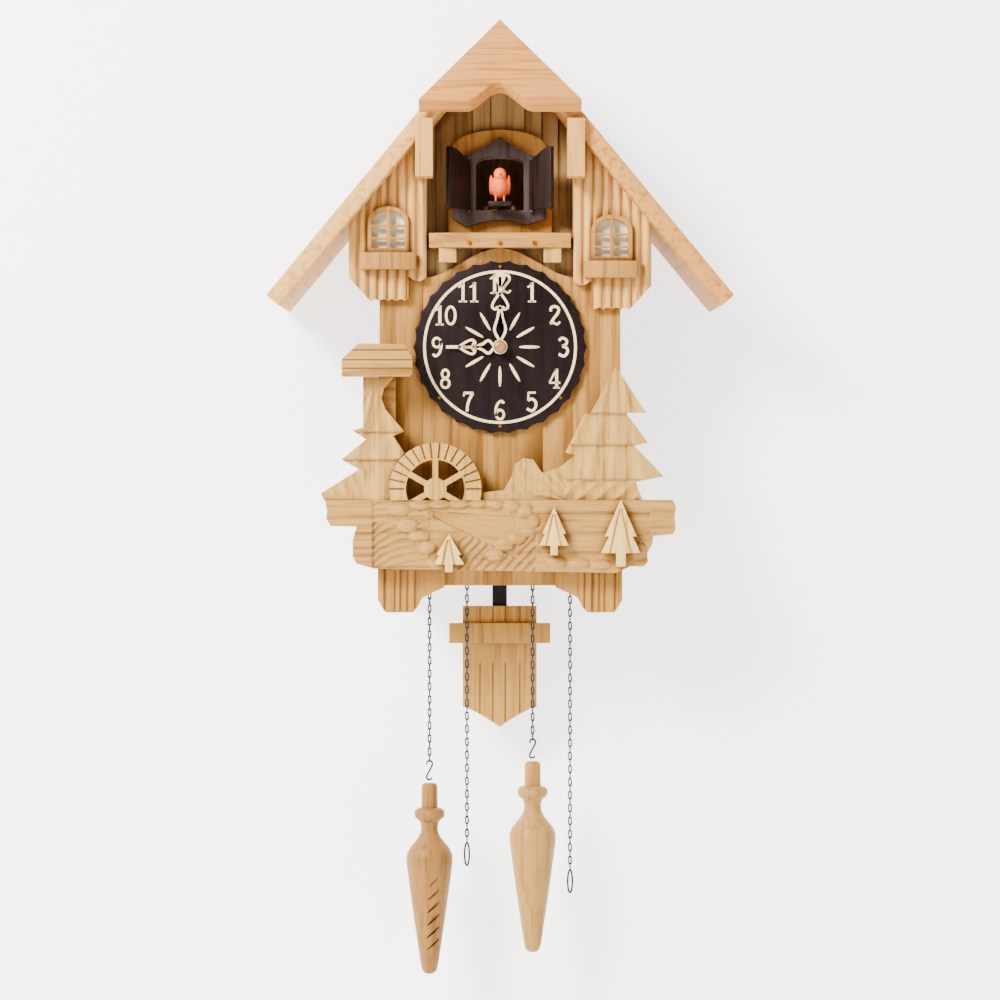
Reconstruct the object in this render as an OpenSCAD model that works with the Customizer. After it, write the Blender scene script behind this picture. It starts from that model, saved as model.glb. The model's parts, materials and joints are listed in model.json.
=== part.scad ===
// Cuckoo clock for a wall: chalet case, two weights, pendulum, bird and gong.
// The origin is the hanging hole at the wall; +Z is up and the dial faces -Y.

/* [Case] */
// Width of the case, outside
case_w = 168; // [140:1:210]
// Depth of the case, from the wall to the face board
case_d = 100; // [96:1:130]
// Height from the hanging hole down to the underside of the floor
case_drop = 298; // [290:1:360]
// Thickness of the case boards
wall = 7; // [4:0.5:9]
// Thickness of the back cover
cover_t = 6; // [3:0.5:9]
// Thickness of the face board
face_t = 8; // [5:0.5:12]
// Depth of the recess above the balcony
recess_d = 28; // [20:1:34]

/* [Roof] */
// Height of the ridge above the hanging hole
ridge_z = 113; // [104:1:135]
// Slope of both roof boards and of the hip
roof_pitch = 50.4; // [46:0.1:53]
// Thickness of the roof boards
roof_t = 12; // [8:0.5:15]
// Half of the roof's width at the eaves
eave_x = 167.5; // [140:1:200]
// How far the roof boards reach in front of the case
roof_over = 34; // [28:1:44]
// Half of the hip board's width at its foot
hip_x = 58; // [48:1:62]

/* [Dial] */
// Radius of the dial at the tips of its scallops
dial_r = 62.4; // [52:0.1:64]
// Number of scallops around the dial
dial_scallops = 30; // [20:1:40]
// Thickness of the dial plate
dial_t = 5; // [3:0.5:8]
// Height of the dial's centre below the hanging hole
dial_drop = 126; // [122:1:132]
// Length of the minute hand from its centre
minute_len = 54; // [42:1:58]
// Length of the hour hand from its centre
hour_len = 40; // [30:1:46]

/* [Bird and doors] */
// Width of the doorway
doorway_w = 34.8; // [30:0.2:42]
// Height of the doorway at its middle
doorway_h = 39; // [36:0.5:46]
// Angle by which the doors stand open
door_open = 130; // [100:1:135]
// Travel of the bird
bird_travel = 40; // [34:1:44]

/* [Chains and weights] */
// Distance from the middle of the clock to each chain wheel's centre
sprocket_x = 38; // [34:0.5:38.5]
// Radius at which a chain leaves its wheel
sprocket_r = 13.8; // [12:0.1:15]
// Pitch of the chain
link_pitch = 4.8; // [4:0.1:6]
// Wire of the chain links
link_wire = 0.9; // [0.7:0.1:1]
// Width of a link
link_w = 3.2; // [3:0.1:4]
// Greatest radius of a weight
weight_r = 17.5; // [14:0.1:20]
// Length of a weight
weight_len = 141; // [110:1:160]

/* [Pendulum] */
// Distance from the suspension to the foot of the rod
rod_len = 286; // [270:1:330]
// Width of the flat rod
rod_w = 11; // [7:0.5:12]
// Thickness of the flat rod
rod_t = 3; // [2:0.5:4]
// Half of the bob's width
bob_x = 27.5; // [22:0.5:32]
// Height of the bob
bob_h = 90; // [70:1:100]

/* [Carving] */
// Thickness of the spacer blocks between the face board and the carving
spacer_t = 12; // [8:1:18]
// Thickness of the carved boards
carve_t = 16; // [10:1:20]

/* [Hidden] */
$fn = 48;

// clearances
run_fit = 0.05;
gap = 0.3;
through = 1;
// where the boards stand, from the wall (0) forwards
case_front = -case_d;
face_front = case_front - face_t;
recess_back = -(case_d - recess_d);
upper_wall_t = 6;
upper_front = recess_back - upper_wall_t;
roof_front = case_front - roof_over;
// slope of the roof
slope = tan(roof_pitch);
roof_under = ridge_z - roof_t / cos(roof_pitch);
hip_tilt = 90 - roof_pitch;
hip_foot_y = roof_front - 16;
hip_foot_z = ridge_z - 65;
hip_len = (ridge_z - hip_foot_z) / cos(hip_tilt);
case_x = case_w / 2;
inner_x = case_x - wall;
floor_top = -case_drop + wall;
// balcony, recess and the edge of the face board under them
balcony_x = 51;
balcony_top = -44;
balcony_t = 10.5;
balcony_under = balcony_top - balcony_t;
ledge_top = -76;
ledge_t = 6;
face_x = case_x + 3;
// dormers
dormer_in = balcony_x + 2;
dormer_out = 109;
dormer_t = 8;
dormer_front = face_front - dormer_t;
dormer_foot = -92;
cheek_t = 6;
apron_t = 4;
right_drop = 6;
window_x = 80.4;
window_w = 29.6;
window_h = 33;
window_foot = -58;
window_t = 4;
// doorway
doorway_foot = -26;
doorway_x = doorway_w / 2;
doorway_top = doorway_foot + doorway_h;
backboard_t = 6;
surround_t = 8;
backboard_front = upper_front - backboard_t;
surround_front = backboard_front - surround_t;
door_t = 3.4;
door_lap = 5.6;
door_shoulder = 10;
door_peak = 19;
door_pin_r = 0.8;
door_axis_x = doorway_x + door_lap;
door_axis_y = surround_front - door_t / 2 - gap;
eye_t = 2;
eye_r = 1.8;
// bird
bird_y = surround_front - 6;
perch_top = -20.5;
perch_t = 3.5;
perch_w = 16.8;
arm_w = 6;
arm_back = -cover_t - 4 - bird_travel;
guide_t = 2.7;
rail_x = perch_w / 2 + gap + guide_t;
// hang hole and back
hang_r = 4;
hanger_t = 1.5;
hanger_w = 24;
hanger_h = 34;
cover_x = inner_x - 7;
cover_top = -22;
cover_foot = -case_drop + 12;
// dial train
dial_z = -dial_drop;
dial_front = face_front - dial_t;
marking_t = 0.6;
hour_y = dial_front - 3.5;
minute_y = dial_front - 6.5;
numeral_r = dial_r - 16.9;
hand_t = 1;
arbor_r = 1.5;
third_arbor_r = 1.2;
escape_arbor_r = 0.8;
pivot_r = 1;
pivot_share = pivot_r / arbor_r;
pipe_bore = 2.5;
pipe_r = 3.8;
// movement plates
plate_t = 1.5;
plate_x = 63;
plate_top = ledge_top - ledge_t - gap;
plate_foot = -173;
front_plate_y = -81.5;
back_plate_y = -37.5;
pillar_r = 3;
pillar_top = [58, -88];
pillar_foot = [58, -168];
post_top = [56, -88];
// wheels: teeth and modules
great_teeth = 72;
great_m = 0.92;
centre_leaves = 12;
centre_teeth = 72;
centre_m = 0.45;
third_leaves = 8;
third_teeth = 80;
third_m = 0.3;
escape_leaves = 8;
escape_teeth = 40;
escape_r = 9;
cannon_teeth = 12;
cannon_m = 0.5;
minute_teeth = 36;
minute_leaves = 10;
hour_teeth = 40;
hour_m = 0.48;
strike_m = 0.8;
second_leaves = 10;
second_teeth = 60;
second_m = 0.5;
fly_leaves = 8;
// arbors, each as [x, z]
centre_at = [0, dial_z];
great_dist = (great_teeth + centre_leaves) / 2 * great_m;
great_at = [sprocket_x, dial_z - sqrt(pow(great_dist, 2) - pow(sprocket_x, 2))];
third_at = centre_at + polar((centre_teeth + third_leaves) / 2 * centre_m, 60);
escape_dist = (third_teeth + escape_leaves) / 2 * third_m;
escape_at = [0, third_at[1] + sqrt(pow(escape_dist, 2) - pow(third_at[0], 2))];
minute_at = centre_at + polar((cannon_teeth + minute_teeth) / 2 * cannon_m, -90);
strike_at = [-sprocket_x, great_at[1]];
second_at = strike_at + polar((great_teeth + second_leaves) / 2 * strike_m, 80);
fly_at = second_at + polar((second_teeth + fly_leaves) / 2 * second_m, 130);
verge_at = escape_at + [0, 12.7];
// the planes of the wheels along Y, each wheel's front face
great_y = -66;
centre_y = -73.5;
third_y = -47.5;
escape_y = -41.5;
minute_wheel_y = -86.5;
hour_wheel_y = -91;
second_y = -73.5;
wheel_t = 1.5;
// chains
chain_y = -57;
chain_inner = sprocket_x - sprocket_r;
chain_outer = sprocket_x + sprocket_r;
flange_r = 16;
core_r = sprocket_r - link_w / 2 - gap;
time_hook_z = -414;
time_ring_z = -510;
strike_hook_z = -430;
strike_ring_z = -490;
hook_len = 16;
ring_len = 19;
eye_wire = 0.55;
eye_play = 0.2;
floor_hole_r = 4;
// pendulum
pend_y = -28;
suspension_z = -104;
suspension_r = 1.2;
leader_r = 0.7;
rod_top = -225;
bob_top = suspension_z - rod_len + 73.5;
bob_t = 5.5;
bar_x = 37.6;
bar_h = 15;
swing_slot_x = 21.5;
crutch_z = -128;
// gong, hammer and pipes
gong_z = -215;
gong_r = 30;
gong_y = -15;
hammer_at = [-45, -163];
hammer_head = [-37.5, -215];
pipe_x = 50;
pipe_w = 20;
pipe_front = -50;
pipe_back = -14;
pipe_foot = -70;
pipe_top = -22;
bellows_top = -13;
bellows_t = 3;
// carving
carve_back = face_front - spacer_t;
carve_front = carve_back - carve_t;
base_top = -236;
plank_top = -270;
wheel_at = [-46.3, -228];
wheel_r = 33;
wheel_lap = 4.3;

// a point at this distance and angle
function polar(r, a) = [r * cos(a), r * sin(a)];
// angle from one arbor to another
function heading(a, b) = atan2(b[1] - a[1], b[0] - a[0]);
// tooth angle of the driven gear, from that of the driver
function meshed(a, b, first, n1, n2) =
    heading(a, b) + 180 - (first - heading(a, b)) * n1 / n2 + 180 / n2;
function roof_z(x) = ridge_z - abs(x) * slope;
function under_z(x) = roof_under - abs(x) * slope;
// points along a smooth hump of this half width and height
function hump(half, high, foot, steps = 16) =
    [for (i = [0:steps]) let (x = half - 2 * half * i / steps)
        [x, foot + high * (1 + cos(180 * x / half)) / 2]];

tooth_phase = 0;
third_phase = meshed(centre_at, third_at, tooth_phase, centre_teeth, third_leaves);
escape_phase = meshed(third_at, escape_at, third_phase, third_teeth, escape_leaves);
great_phase = meshed(centre_at, great_at, tooth_phase, centre_leaves, great_teeth);
minute_phase = meshed(centre_at, minute_at, tooth_phase, cannon_teeth, minute_teeth);
hour_phase = meshed(minute_at, centre_at, minute_phase, minute_leaves, hour_teeth);
second_phase = meshed(strike_at, second_at, tooth_phase, great_teeth, second_leaves);
fly_phase = meshed(second_at, fly_at, second_phase, second_teeth, fly_leaves);

// a flat outline in X and Z, given depth from its front face backwards
module board(front, depth)
    translate([0, front + depth, 0]) rotate([90, 0, 0]) linear_extrude(depth) children();
// a round bar along Y
module rod_y(at, front, back, r)
    translate([at[0], back, at[1]]) rotate([90, 0, 0]) cylinder(h = back - front, r = r);
module gear_outline(n, m, phase) {
    root = m * (n / 2 - 1);
    tip = m * (n / 2 + 0.7);
    step = 360 / n;
    polygon([for (i = [0:n - 1], k = [[-0.22, root], [-0.1, tip], [0.1, tip], [0.22, root]])
        polar(k[1], phase + step * (i + k[0]))]);
}
module gear(at, front, thick, n, m, phase)
    translate([at[0], 0, at[1]]) board(front, thick) gear_outline(n, m, phase);
// an arbor between the plates, with its two pivots
module arbor(at, r = arbor_r) {
    rod_y(at, front_plate_y + plate_t + gap, back_plate_y - gap, r);
    rod_y(at, front_plate_y - gap, back_plate_y + plate_t + gap, r * pivot_share);
}
// a big circle of spokes left in a wheel
module crossed_wheel(at, front, n, m, phase) {
    rim = m * (n / 2 - 1) - 2.5;
    difference() {
        gear(at, front, wheel_t, n, m, phase);
        if (rim > 8)
            for (a = [45:90:315])
                translate([at[0], 0, at[1]]) board(front - through, wheel_t + 2 * through)
                    translate(polar((rim + 5) / 2, a)) circle(r = (rim - 6) / 2 * 0.86);
    }
}

module house_outline(x, foot)
    polygon([[-x, foot], [x, foot], [x, under_z(x)], [0, under_z(0)], [-x, under_z(x)]]);

module case_shell() color([0.62, 0.44, 0.27]) difference() {
    board(case_front, case_d) house_outline(case_x, -case_drop);
    difference() {
        board(case_front - through, case_d - cover_t + through)
            translate([-inner_x, floor_top]) square([2 * inner_x, ridge_z - floor_top]);
        // the ledge that closes the lower case in front of the upper wall
        translate([-case_x, case_front - 2 * through, ledge_top - ledge_t])
            cube([case_w, recess_d + 2 * through, ledge_t]);
    }
    // back opening for the cover
    translate([-cover_x, -cover_t - through, cover_foot])
        cube([2 * cover_x, cover_t + 2 * through, cover_top - cover_foot]);
    // pocket and hole for the hanger plate
    translate([-hanger_w / 2, -hanger_t, -hanger_h / 2 + 6])
        cube([hanger_w, hanger_t + through, hanger_h]);
    rod_y([0, 0], -cover_t - through, 0, hang_r + 4);
    hanger_screw_holes(1.5);
    cover_screws();
    // four chain holes and the slot for the pendulum in the floor
    for (x = [-chain_outer, -chain_inner, chain_inner, chain_outer])
        translate([x, chain_y, -case_drop - through])
            cylinder(h = wall + 2 * through, r = floor_hole_r);
    translate([-swing_slot_x, pend_y - 8, -case_drop - through])
        cube([2 * swing_slot_x, 16, wall + 2 * through]);
}
module hanger_screw_holes(r)
    for (z = [13, 19]) rod_y([0, z], -cover_t - through, through, r);
module back_cover() color([0.5, 0.36, 0.22]) difference() {
    translate([-cover_x + gap, -cover_t, cover_foot + gap])
        cube([2 * (cover_x - gap), cover_t, cover_top - cover_foot - 2 * gap]);
    // sound slots
    for (i = [-2:2])
        translate([i * 16 - 2.5, -cover_t - through, -110])
            cube([5, cover_t + 2 * through, 50]);
}
module hanger_plate() color([0.6, 0.6, 0.62]) difference() {
    translate([-hanger_w / 2, -hanger_t, -hanger_h / 2 + 6])
        cube([hanger_w, hanger_t, hanger_h]);
    rod_y([0, 0], -hanger_t - through, through, hang_r);
    hanger_screw_holes(1.55);
}
module screws_and_nails() color([0.75, 0.65, 0.4]) {
    // screws beside the cover, from behind
    cover_screws();
    hanger_screws();
    // nails in the balcony front
    balcony_nails();
    // pins in the dial
    for (a = [90, 220, 320, 270])
        rod_y(centre_at + polar(dial_r - (a == 90 ? 4.4 : 5.4), a), dial_front - 1.4, dial_front, 1.1);
}
module hanger_screws() for (z = [13, 19]) rod_y([0, z], -cover_t, -0.2, 1.5);
module cover_screws() for (x = [-1, 1], z = [cover_top - 8, cover_foot + 8])
    rod_y([x * (cover_x + 3.5), z], 1 - cover_t, 0, 1.5);
module balcony_nails() for (x = [-22, 0, 25]) translate([0, balcony_front(x), 0])
    rod_y([x, balcony_top - 7.5], -1.2, 2, 1.5);
// the nails' seats follow the bow of the balcony
function balcony_front(x) = dormer_front - 5 * (1 - pow(x / balcony_x, 2));

module doorway_outline(x, foot, top) {
    spring = top - 5;
    polygon(concat([[-x, foot], [x, foot]],
        [for (i = [0:16]) [x * cos(i * 180 / 16), spring + (top - spring) * sin(i * 180 / 16)]]));
}
module upper_wall() color([0.8, 0.7, 0.57]) {
    difference() {
        board(upper_front, upper_wall_t) house_outline(inner_x, ledge_top);
        board(upper_front - through, upper_wall_t + 2 * through)
            doorway_outline(doorway_x, doorway_foot, doorway_top);
    }
    // planks under the balcony
    board(case_front, apron_t) translate([-dormer_in + gap, ledge_top])
        square([2 * (dormer_in - gap), balcony_under - ledge_top]);
}
module face_board() color([0.85, 0.67, 0.45]) difference() {
    board(face_front, face_t) polygon(concat(
        [[-face_x, -case_drop], [face_x, -case_drop], [face_x, ledge_top]],
        hump(56, balcony_under - ledge_top, ledge_top), [[-face_x, ledge_top]]));
    rod_y(centre_at, face_front - through, case_front + through, pipe_r + 1.2);
}

module roof_outline(side)
    polygon([[0, ridge_z], [side * eave_x, roof_z(eave_x)],
        [side * (eave_x - roof_t * sin(roof_pitch)), roof_z(eave_x) - roof_t * cos(roof_pitch)],
        [0, roof_under]]);
// the room in front of the hip board's inner face
module hip_place() translate([0, hip_foot_y, hip_foot_z]) rotate([-hip_tilt, 0, 0]) children();
module roof_board(side) difference() {
    board(roof_front, -roof_front) roof_outline(side);
    hip_place() translate([-eave_x, -200 + roof_t, -200]) cube([2 * eave_x, 200, 500]);
}
module roof_left() color([0.93, 0.82, 0.66]) roof_board(-1);
module roof_right() color([0.91, 0.78, 0.58]) roof_board(1);
module hip_board() color([0.89, 0.74, 0.54]) hip_place() board(0, roof_t) difference() {
    polygon([[-hip_x, 0], [-hip_x, 2], [0, hip_len], [hip_x, 2], [hip_x, 0]]);
    translate([0, -0.01]) polygon(hump(24, 19, 0));
}
module brackets() color([0.85, 0.7, 0.5]) {
    // legs under the corners of the hip
    for (side = [-1, 1]) difference() {
        translate([side * 54.25 - 6.25, roof_front - 6.5, -5]) cube([12.5, 22, 41.5]);
        board(roof_front, 60) roof_outline(side);
        board(roof_front, 60)
            polygon([[0, ridge_z + 20], [side * eave_x, roof_z(eave_x) + 20],
                [side * eave_x, roof_z(eave_x) - 0.01], [0, ridge_z - 0.01]]);
    }
    // short blocks under the balcony
    for (side = [-1, 1])
        translate([side * 37.75 - 6.25, face_front - 8.5, balcony_under - 10.5])
            cube([12.5, 8.5, 10.5]);
}

module dormer_outline(drop)
    polygon(concat(
        [[dormer_in, under_z(dormer_in)], [dormer_out, under_z(dormer_out)],
            [dormer_out, dormer_foot + 16 - drop], [93.5, dormer_foot - 1 - drop]],
        [for (i = [1:12]) [93.5 - i * 2.1, dormer_foot - drop - 1 + 1.6 * abs(sin(i * 60))]],
        [[66, dormer_foot + 1 - drop], [66, -75 - drop / 2]],
        [for (i = [1:5]) [66 - i * 2.4, -75 - drop / 2 - 3.5 * sin(i * 30)]],
        [[dormer_in, -76]]));
module dormer(drop) difference() {
    union() {
        board(dormer_front, dormer_t) dormer_outline(drop);
        // the cheek that closes the side of the recess
        translate([dormer_in, face_front, ledge_top + 0.5])
            intersection() {
                cube([cheek_t, upper_front - face_front, 200]);
                translate([-dormer_in, -face_front, -ledge_top - 0.5])
                    board(face_front, upper_front - face_front)
                    house_outline(case_x, -case_drop);
            }
    }
    translate([window_x, 0, -drop]) board(dormer_front - through, through + 4)
        window_outline(window_w / 2 - 3, window_h - 6, 3);
}
module window_outline(x, high, lift = 0)
    translate([0, window_foot + lift]) polygon(concat([[-x, 0], [x, 0]],
        [for (i = [0:16]) [x * cos(i * 180 / 16), high - x * 0.75 + x * 0.75 * sin(i * 180 / 16)]]));
module dormer_left() color([0.88, 0.74, 0.56]) mirror([1, 0, 0]) dormer(0);
module dormer_right() color([0.88, 0.74, 0.56]) dormer(right_drop);
module window(drop) translate([window_x, 0, -drop]) {
    difference() {
        board(dormer_front - window_t, window_t) window_outline(window_w / 2, window_h);
        board(dormer_front - window_t - through, window_t + 2 * through)
            intersection() {
                window_outline(window_w / 2 - 3, window_h - 6, 3);
                difference() {
                    square([200, 200], center = true);
                    translate([-1.2, -100]) square([2.4, 200]);
                    for (z = [9, 18]) translate([-50, window_foot + z]) square([100, 1.8]);
                }
            }
    }
    // flower box under the window
    translate([0, dormer_front, window_foot - 12.4]) linear_extrude(12)
        polygon(concat([[20, 0]], [for (i = [0:12]) let (x = 20 - 40 * i / 12)
            [x, -7 - 5 * (1 - pow(x / 20, 2))]], [[-20, 0]]));
}
module windows() color([0.75, 0.6, 0.42]) {
    window(right_drop);
    mirror([1, 0, 0]) window(0);
}
module door_backboard() color([0.88, 0.69, 0.47]) difference() {
    board(backboard_front, backboard_t) polygon(concat(
        [[-38, balcony_top], [38, balcony_top], [38, -26], [34.5, -22]],
        [for (i = [0:20]) [34.5 * cos(i * 9), 20 + 13.4 * sin(i * 9)]],
        [[-34.5, -22], [-38, -26]]));
    board(backboard_front - through, backboard_t + 2 * through)
        doorway_outline(doorway_x, doorway_foot, doorway_top);
}
module door_surround() color([0.34, 0.29, 0.3]) difference() {
    union() {
        board(surround_front, surround_t) polygon(concat(
            [[34, -26], [27.5, -20], [27.5, 13]],
            [for (i = [0:8]) [27.5 - i * 3.4375, 13.5 + 14.2 * pow(i / 8, 1.7)]],
            [for (i = [1:8]) [-i * 3.4375, 27.7 - 14.2 * (1 - pow(1 - i / 8, 1.7))]],
            [[-27.5, 13], [-27.5, -20], [-34, -26], [-34, -32], [-24.4, -38]],
            [for (i = [1:9]) [-24.4 + i * 4.88, -38 + 5 * sin(i * 18)]], [[34, -32]]));
        for (side = [-1, 1], z = eye_places) eye_blank(side, z);
    }
    board(surround_front - through, surround_t + 2 * through)
        doorway_outline(doorway_x, doorway_foot, doorway_top);
    for (side = [-1, 1], z = eye_places)
        translate([side * door_axis_x, door_axis_y, z - through])
            cylinder(h = eye_t + 2 * through, r = door_pin_r + run_fit);
}
eye_places = [doorway_foot - eye_t, door_shoulder + gap];
module eye_blank(side, z) translate([side * door_axis_x, door_axis_y, z]) {
    cylinder(h = eye_t, r = eye_r);
    translate([side > 0 ? 0 : -eye_r, 0, 0]) cube([eye_r, surround_front - door_axis_y + 1, eye_t]);
}
// one door leaf on its pin, drawn shut and then opened
module leaf_outline() {
    shoulder_x = door_axis_x - eye_r - gap;
    polygon(concat([[door_axis_x, doorway_foot + gap], [door_axis_x, door_shoulder]],
        [for (i = [0:8]) [shoulder_x - (shoulder_x - gap / 2) * i / 8,
            door_shoulder + (door_peak - door_shoulder) * sin(i * 90 / 8)]],
        [[gap / 2, doorway_foot + gap]]));
}
module door(side) translate([side * door_axis_x, door_axis_y, 0]) rotate([0, 0, side * door_open])
    translate([-side * door_axis_x, 0, 0]) {
        mirror([side < 0 ? 1 : 0, 0, 0]) board(-door_t / 2, door_t) leaf_outline();
        translate([side * door_axis_x, 0, doorway_foot + gap])
            cylinder(h = door_shoulder - doorway_foot - gap, r = door_t / 2);
        translate([side * door_axis_x, 0, doorway_foot - eye_t - gap])
            cylinder(h = door_shoulder - doorway_foot + 2 * eye_t + 3 * gap, r = door_pin_r);
    }
module door_left() color([0.2, 0.15, 0.15]) door(-1);
module door_right() color([0.24, 0.15, 0.14]) door(1);

module balcony_shelf() color([0.8, 0.62, 0.42]) difference() {
    translate([0, 0, balcony_under]) linear_extrude(balcony_t)
        polygon(concat([[balcony_x, upper_front]], [for (i = [0:16])
            let (x = balcony_x - 2 * balcony_x * i / 16) [x, balcony_front(x)]],
            [[-balcony_x, upper_front]]));
    balcony_nails();
}

module dial_plate() color([0.22, 0.14, 0.12]) difference() {
    depth = 1.5;
    chord = dial_r * sin(180 / dial_scallops);
    bite = (chord * chord + depth * depth) / (2 * depth);
    translate([0, 0, dial_z]) board(dial_front, dial_t) difference() {
        circle(r = dial_r, $fn = 180);
        for (i = [1:dial_scallops])
            rotate((i + 0.5) * 360 / dial_scallops) translate([dial_r - depth + bite, 0])
                circle(r = bite, $fn = 64);
    }
    rod_y(centre_at, dial_front - through, face_front + through, pipe_r + 0.4);
}
// strokes of a numeral, as a bar between two points of a 2 by 4 grid
strokes = [
    [[0, 0, 2, 0], [2, 0, 2, 4], [0, 4, 2, 4], [0, 0, 0, 4]], [[1, 0, 1, 4]],
    [[0, 4, 2, 4], [2, 2, 2, 4], [0, 2, 2, 2], [0, 0, 0, 2], [0, 0, 2, 0]],
    [[0, 4, 2, 4], [2, 0, 2, 4], [0, 2, 2, 2], [0, 0, 2, 0]],
    [[0, 2, 0, 4], [0, 2, 2, 2], [2, 0, 2, 4]],
    [[0, 4, 2, 4], [0, 2, 0, 4], [0, 2, 2, 2], [2, 0, 2, 2], [0, 0, 2, 0]],
    [[0, 4, 2, 4], [0, 0, 0, 4], [0, 2, 2, 2], [2, 0, 2, 2], [0, 0, 2, 0]],
    [[0, 4, 2, 4], [2, 0, 2, 4]],
    [[0, 4, 2, 4], [0, 0, 0, 4], [2, 0, 2, 4], [0, 2, 2, 2], [0, 0, 2, 0]],
    [[0, 4, 2, 4], [2, 0, 2, 4], [0, 2, 0, 4], [0, 2, 2, 2], [0, 0, 2, 0]]];
module numeral(d) for (s = strokes[d]) translate([s[0] * 2.6 - 3.7, s[1] * 3 - 7])
    square([(s[2] - s[0]) * 2.6 + 2, (s[3] - s[1]) * 3 + 2]);
module dial_markings() color([0.93, 0.83, 0.65])
    translate([0, 0, dial_z]) board(dial_front - marking_t, marking_t) {
        difference() {
            circle(r = dial_r - 7, $fn = 96);
            circle(r = dial_r - 9, $fn = 96);
        }
        for (h = [1:12]) translate(polar(numeral_r, 90 - h * 30)) {
            if (h > 9) translate([-4.6, 0]) numeral(1);
            translate([h > 9 ? 4 : 0, 0]) numeral(h % 10);
        }
        for (h = [1:12]) rotate(90 - h * 30) ray();
    }
// a drop, pointed inwards
module ray() polygon(concat([[numeral_r - 31.8, 0]],
    [for (i = [0:10]) [numeral_r - 19.3 + 2.6 * sin(i * 18 ), -2.6 * cos(i * 18)]]));

module spacer_blocks() color([0.85, 0.7, 0.5]) {
    // the left strip reaches in behind the rim of the wheel
    translate([-face_x, carve_back, base_top])
        cube([face_x + wheel_at[0] - wheel_r + wheel_lap, spacer_t, 108]);
    translate([face_x - 12, carve_back, base_top]) cube([12, spacer_t, 76]);
    for (x = [-96, 44]) translate([x, carve_back, plank_top + gap])
        cube([40, spacer_t, 28 - gap]);
}
module carved_base() color([0.88, 0.76, 0.58]) board(carve_front, carve_t)
    polygon([[-125, base_top], [-123.6, -243.8], [-124.3, -249], [-121, -254.4], [-102.6, -255],
        [-105.3, -264], [-105.3, -276.4], [-102.6, -281.2], [-90, -285], [83, -288],
        [93.3, -283.2], [102.4, -283.6], [105.7, -280], [105.3, -273.4], [109, -266.8],
        [109.2, -261.6], [123.4, -260.3], [125.4, -256.9], [124.7, -247.2], [125.8, -240.5],
        [123.4, base_top]]);
module tree_left() color([0.86, 0.74, 0.56]) difference() {
    board(carve_front + 2, carve_t - 2)
        polygon([[-98, -148], [-76, -148], [-83, -156], [-85, -163], [-82, -171], [-76, -178],
            [-68.5, -187], [-76.5, -190], [-68, -203], [-62, -214], [-62, base_top],
            [-126, base_top], [-128, -231], [-101, -214], [-113.5, -207], [-96, -192.5],
            [-106, -186], [-98, -184]]);
    rod_y(wheel_at, carve_front - through, carve_back + through, wheel_r + gap);
}
module post_cap() color([0.84, 0.71, 0.53]) board(carve_front - 8, carve_t + 8)
    polygon([[-101, -124.2], [-68, -124.9], [-62.5, -134.4], [-62.5, -145.3], [-64.5, -147.7],
        [-112.8, -147.7], [-112.8, -135.7], [-105, -128]]);
module mill_wheel() color([0.88, 0.76, 0.58]) intersection() {
    translate([wheel_at[0], 0, wheel_at[1]]) board(carve_front + 1, carve_t - 1) {
        difference() {
            circle(r = wheel_r, $fn = 90);
            circle(r = 21, $fn = 72);
        }
        circle(r = 8);
        for (a = [0:60:300]) rotate(a + 30) translate([6, -2]) square([17, 4]);
    }
    translate([-100, -200, base_top]) cube([100, 200, 60]);
}
module trees_right() color([0.88, 0.76, 0.58]) board(carve_front + 2, carve_t - 2)
    polygon([[83, -140.5], [104.5, -173.5], [90, -173.7], [106, -195], [96, -197], [117, -219],
        [97, -223], [102, base_top], [-12, base_top], [-12, -230.5], [2.7, -229], [8, -219.7],
        [10.6, -210.5], [16.5, -206], [23.8, -207], [30, -216.4], [42, -213], [54, -203.7],
        [46.8, -202], [60.6, -174.4], [65, -173.7]]);
module fir(x, foot, high, w) board(carve_front - 7, 7) translate([x, foot])
    polygon([[-w * 0.12, 0], [w * 0.12, 0], [w * 0.12, high * 0.2], [w / 2, high * 0.2],
        [w * 0.3, high * 0.45], [w * 0.4, high * 0.45], [0, high], [-w * 0.4, high * 0.45],
        [-w * 0.3, high * 0.45], [-w / 2, high * 0.2], [-w * 0.12, high * 0.2]]);
module small_trees() color([0.93, 0.84, 0.68]) {
    fir(-36.5, -287, 27, 22);
    fir(38.4, -275, 34, 21);
    fir(86, -283, 47.5, 28);
}
module corner_planks() color([0.84, 0.7, 0.5]) for (side = [-1, 1])
    board(face_front - 8, 8)
        polygon([for (p = [[88, plank_top], [88, -308], [85.5, -312.5], [82.5, -317.2],
            [62.8, -317.2], [59.3, -313.2], [55.9, -306.5], [40, -299], [40, plank_top]])
            [side * p[0], p[1]]]);

// the arbors that pass through both plates
arbor_places = [[great_at, arbor_r], [centre_at, arbor_r], [third_at, third_arbor_r],
    [escape_at, escape_arbor_r], [strike_at, arbor_r], [second_at, arbor_r], [fly_at, arbor_r],
    [verge_at, arbor_r]];
module movement_plates() color([0.8, 0.65, 0.3]) {
    for (y = [front_plate_y, back_plate_y]) difference() {
        union() {
            translate([-plate_x, y, plate_foot]) cube([2 * plate_x, plate_t, plate_top - plate_foot]);
            if (y == back_plate_y) rod_y([0, suspension_z], y, pend_y + 3, suspension_r);
        }
        for (a = arbor_places)
            rod_y(a[0], y - through, y + plate_t + through, run_fit
                + (a[0] == centre_at && y == front_plate_y ? pipe_bore : a[1] * pivot_share));
    }
    // stud of the minute wheel
    rod_y(minute_at, minute_wheel_y - 8, front_plate_y, pivot_r);
    // stud of the gong hammer
    rod_y(hammer_at, back_plate_y + plate_t, -21, pivot_r);
}
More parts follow.
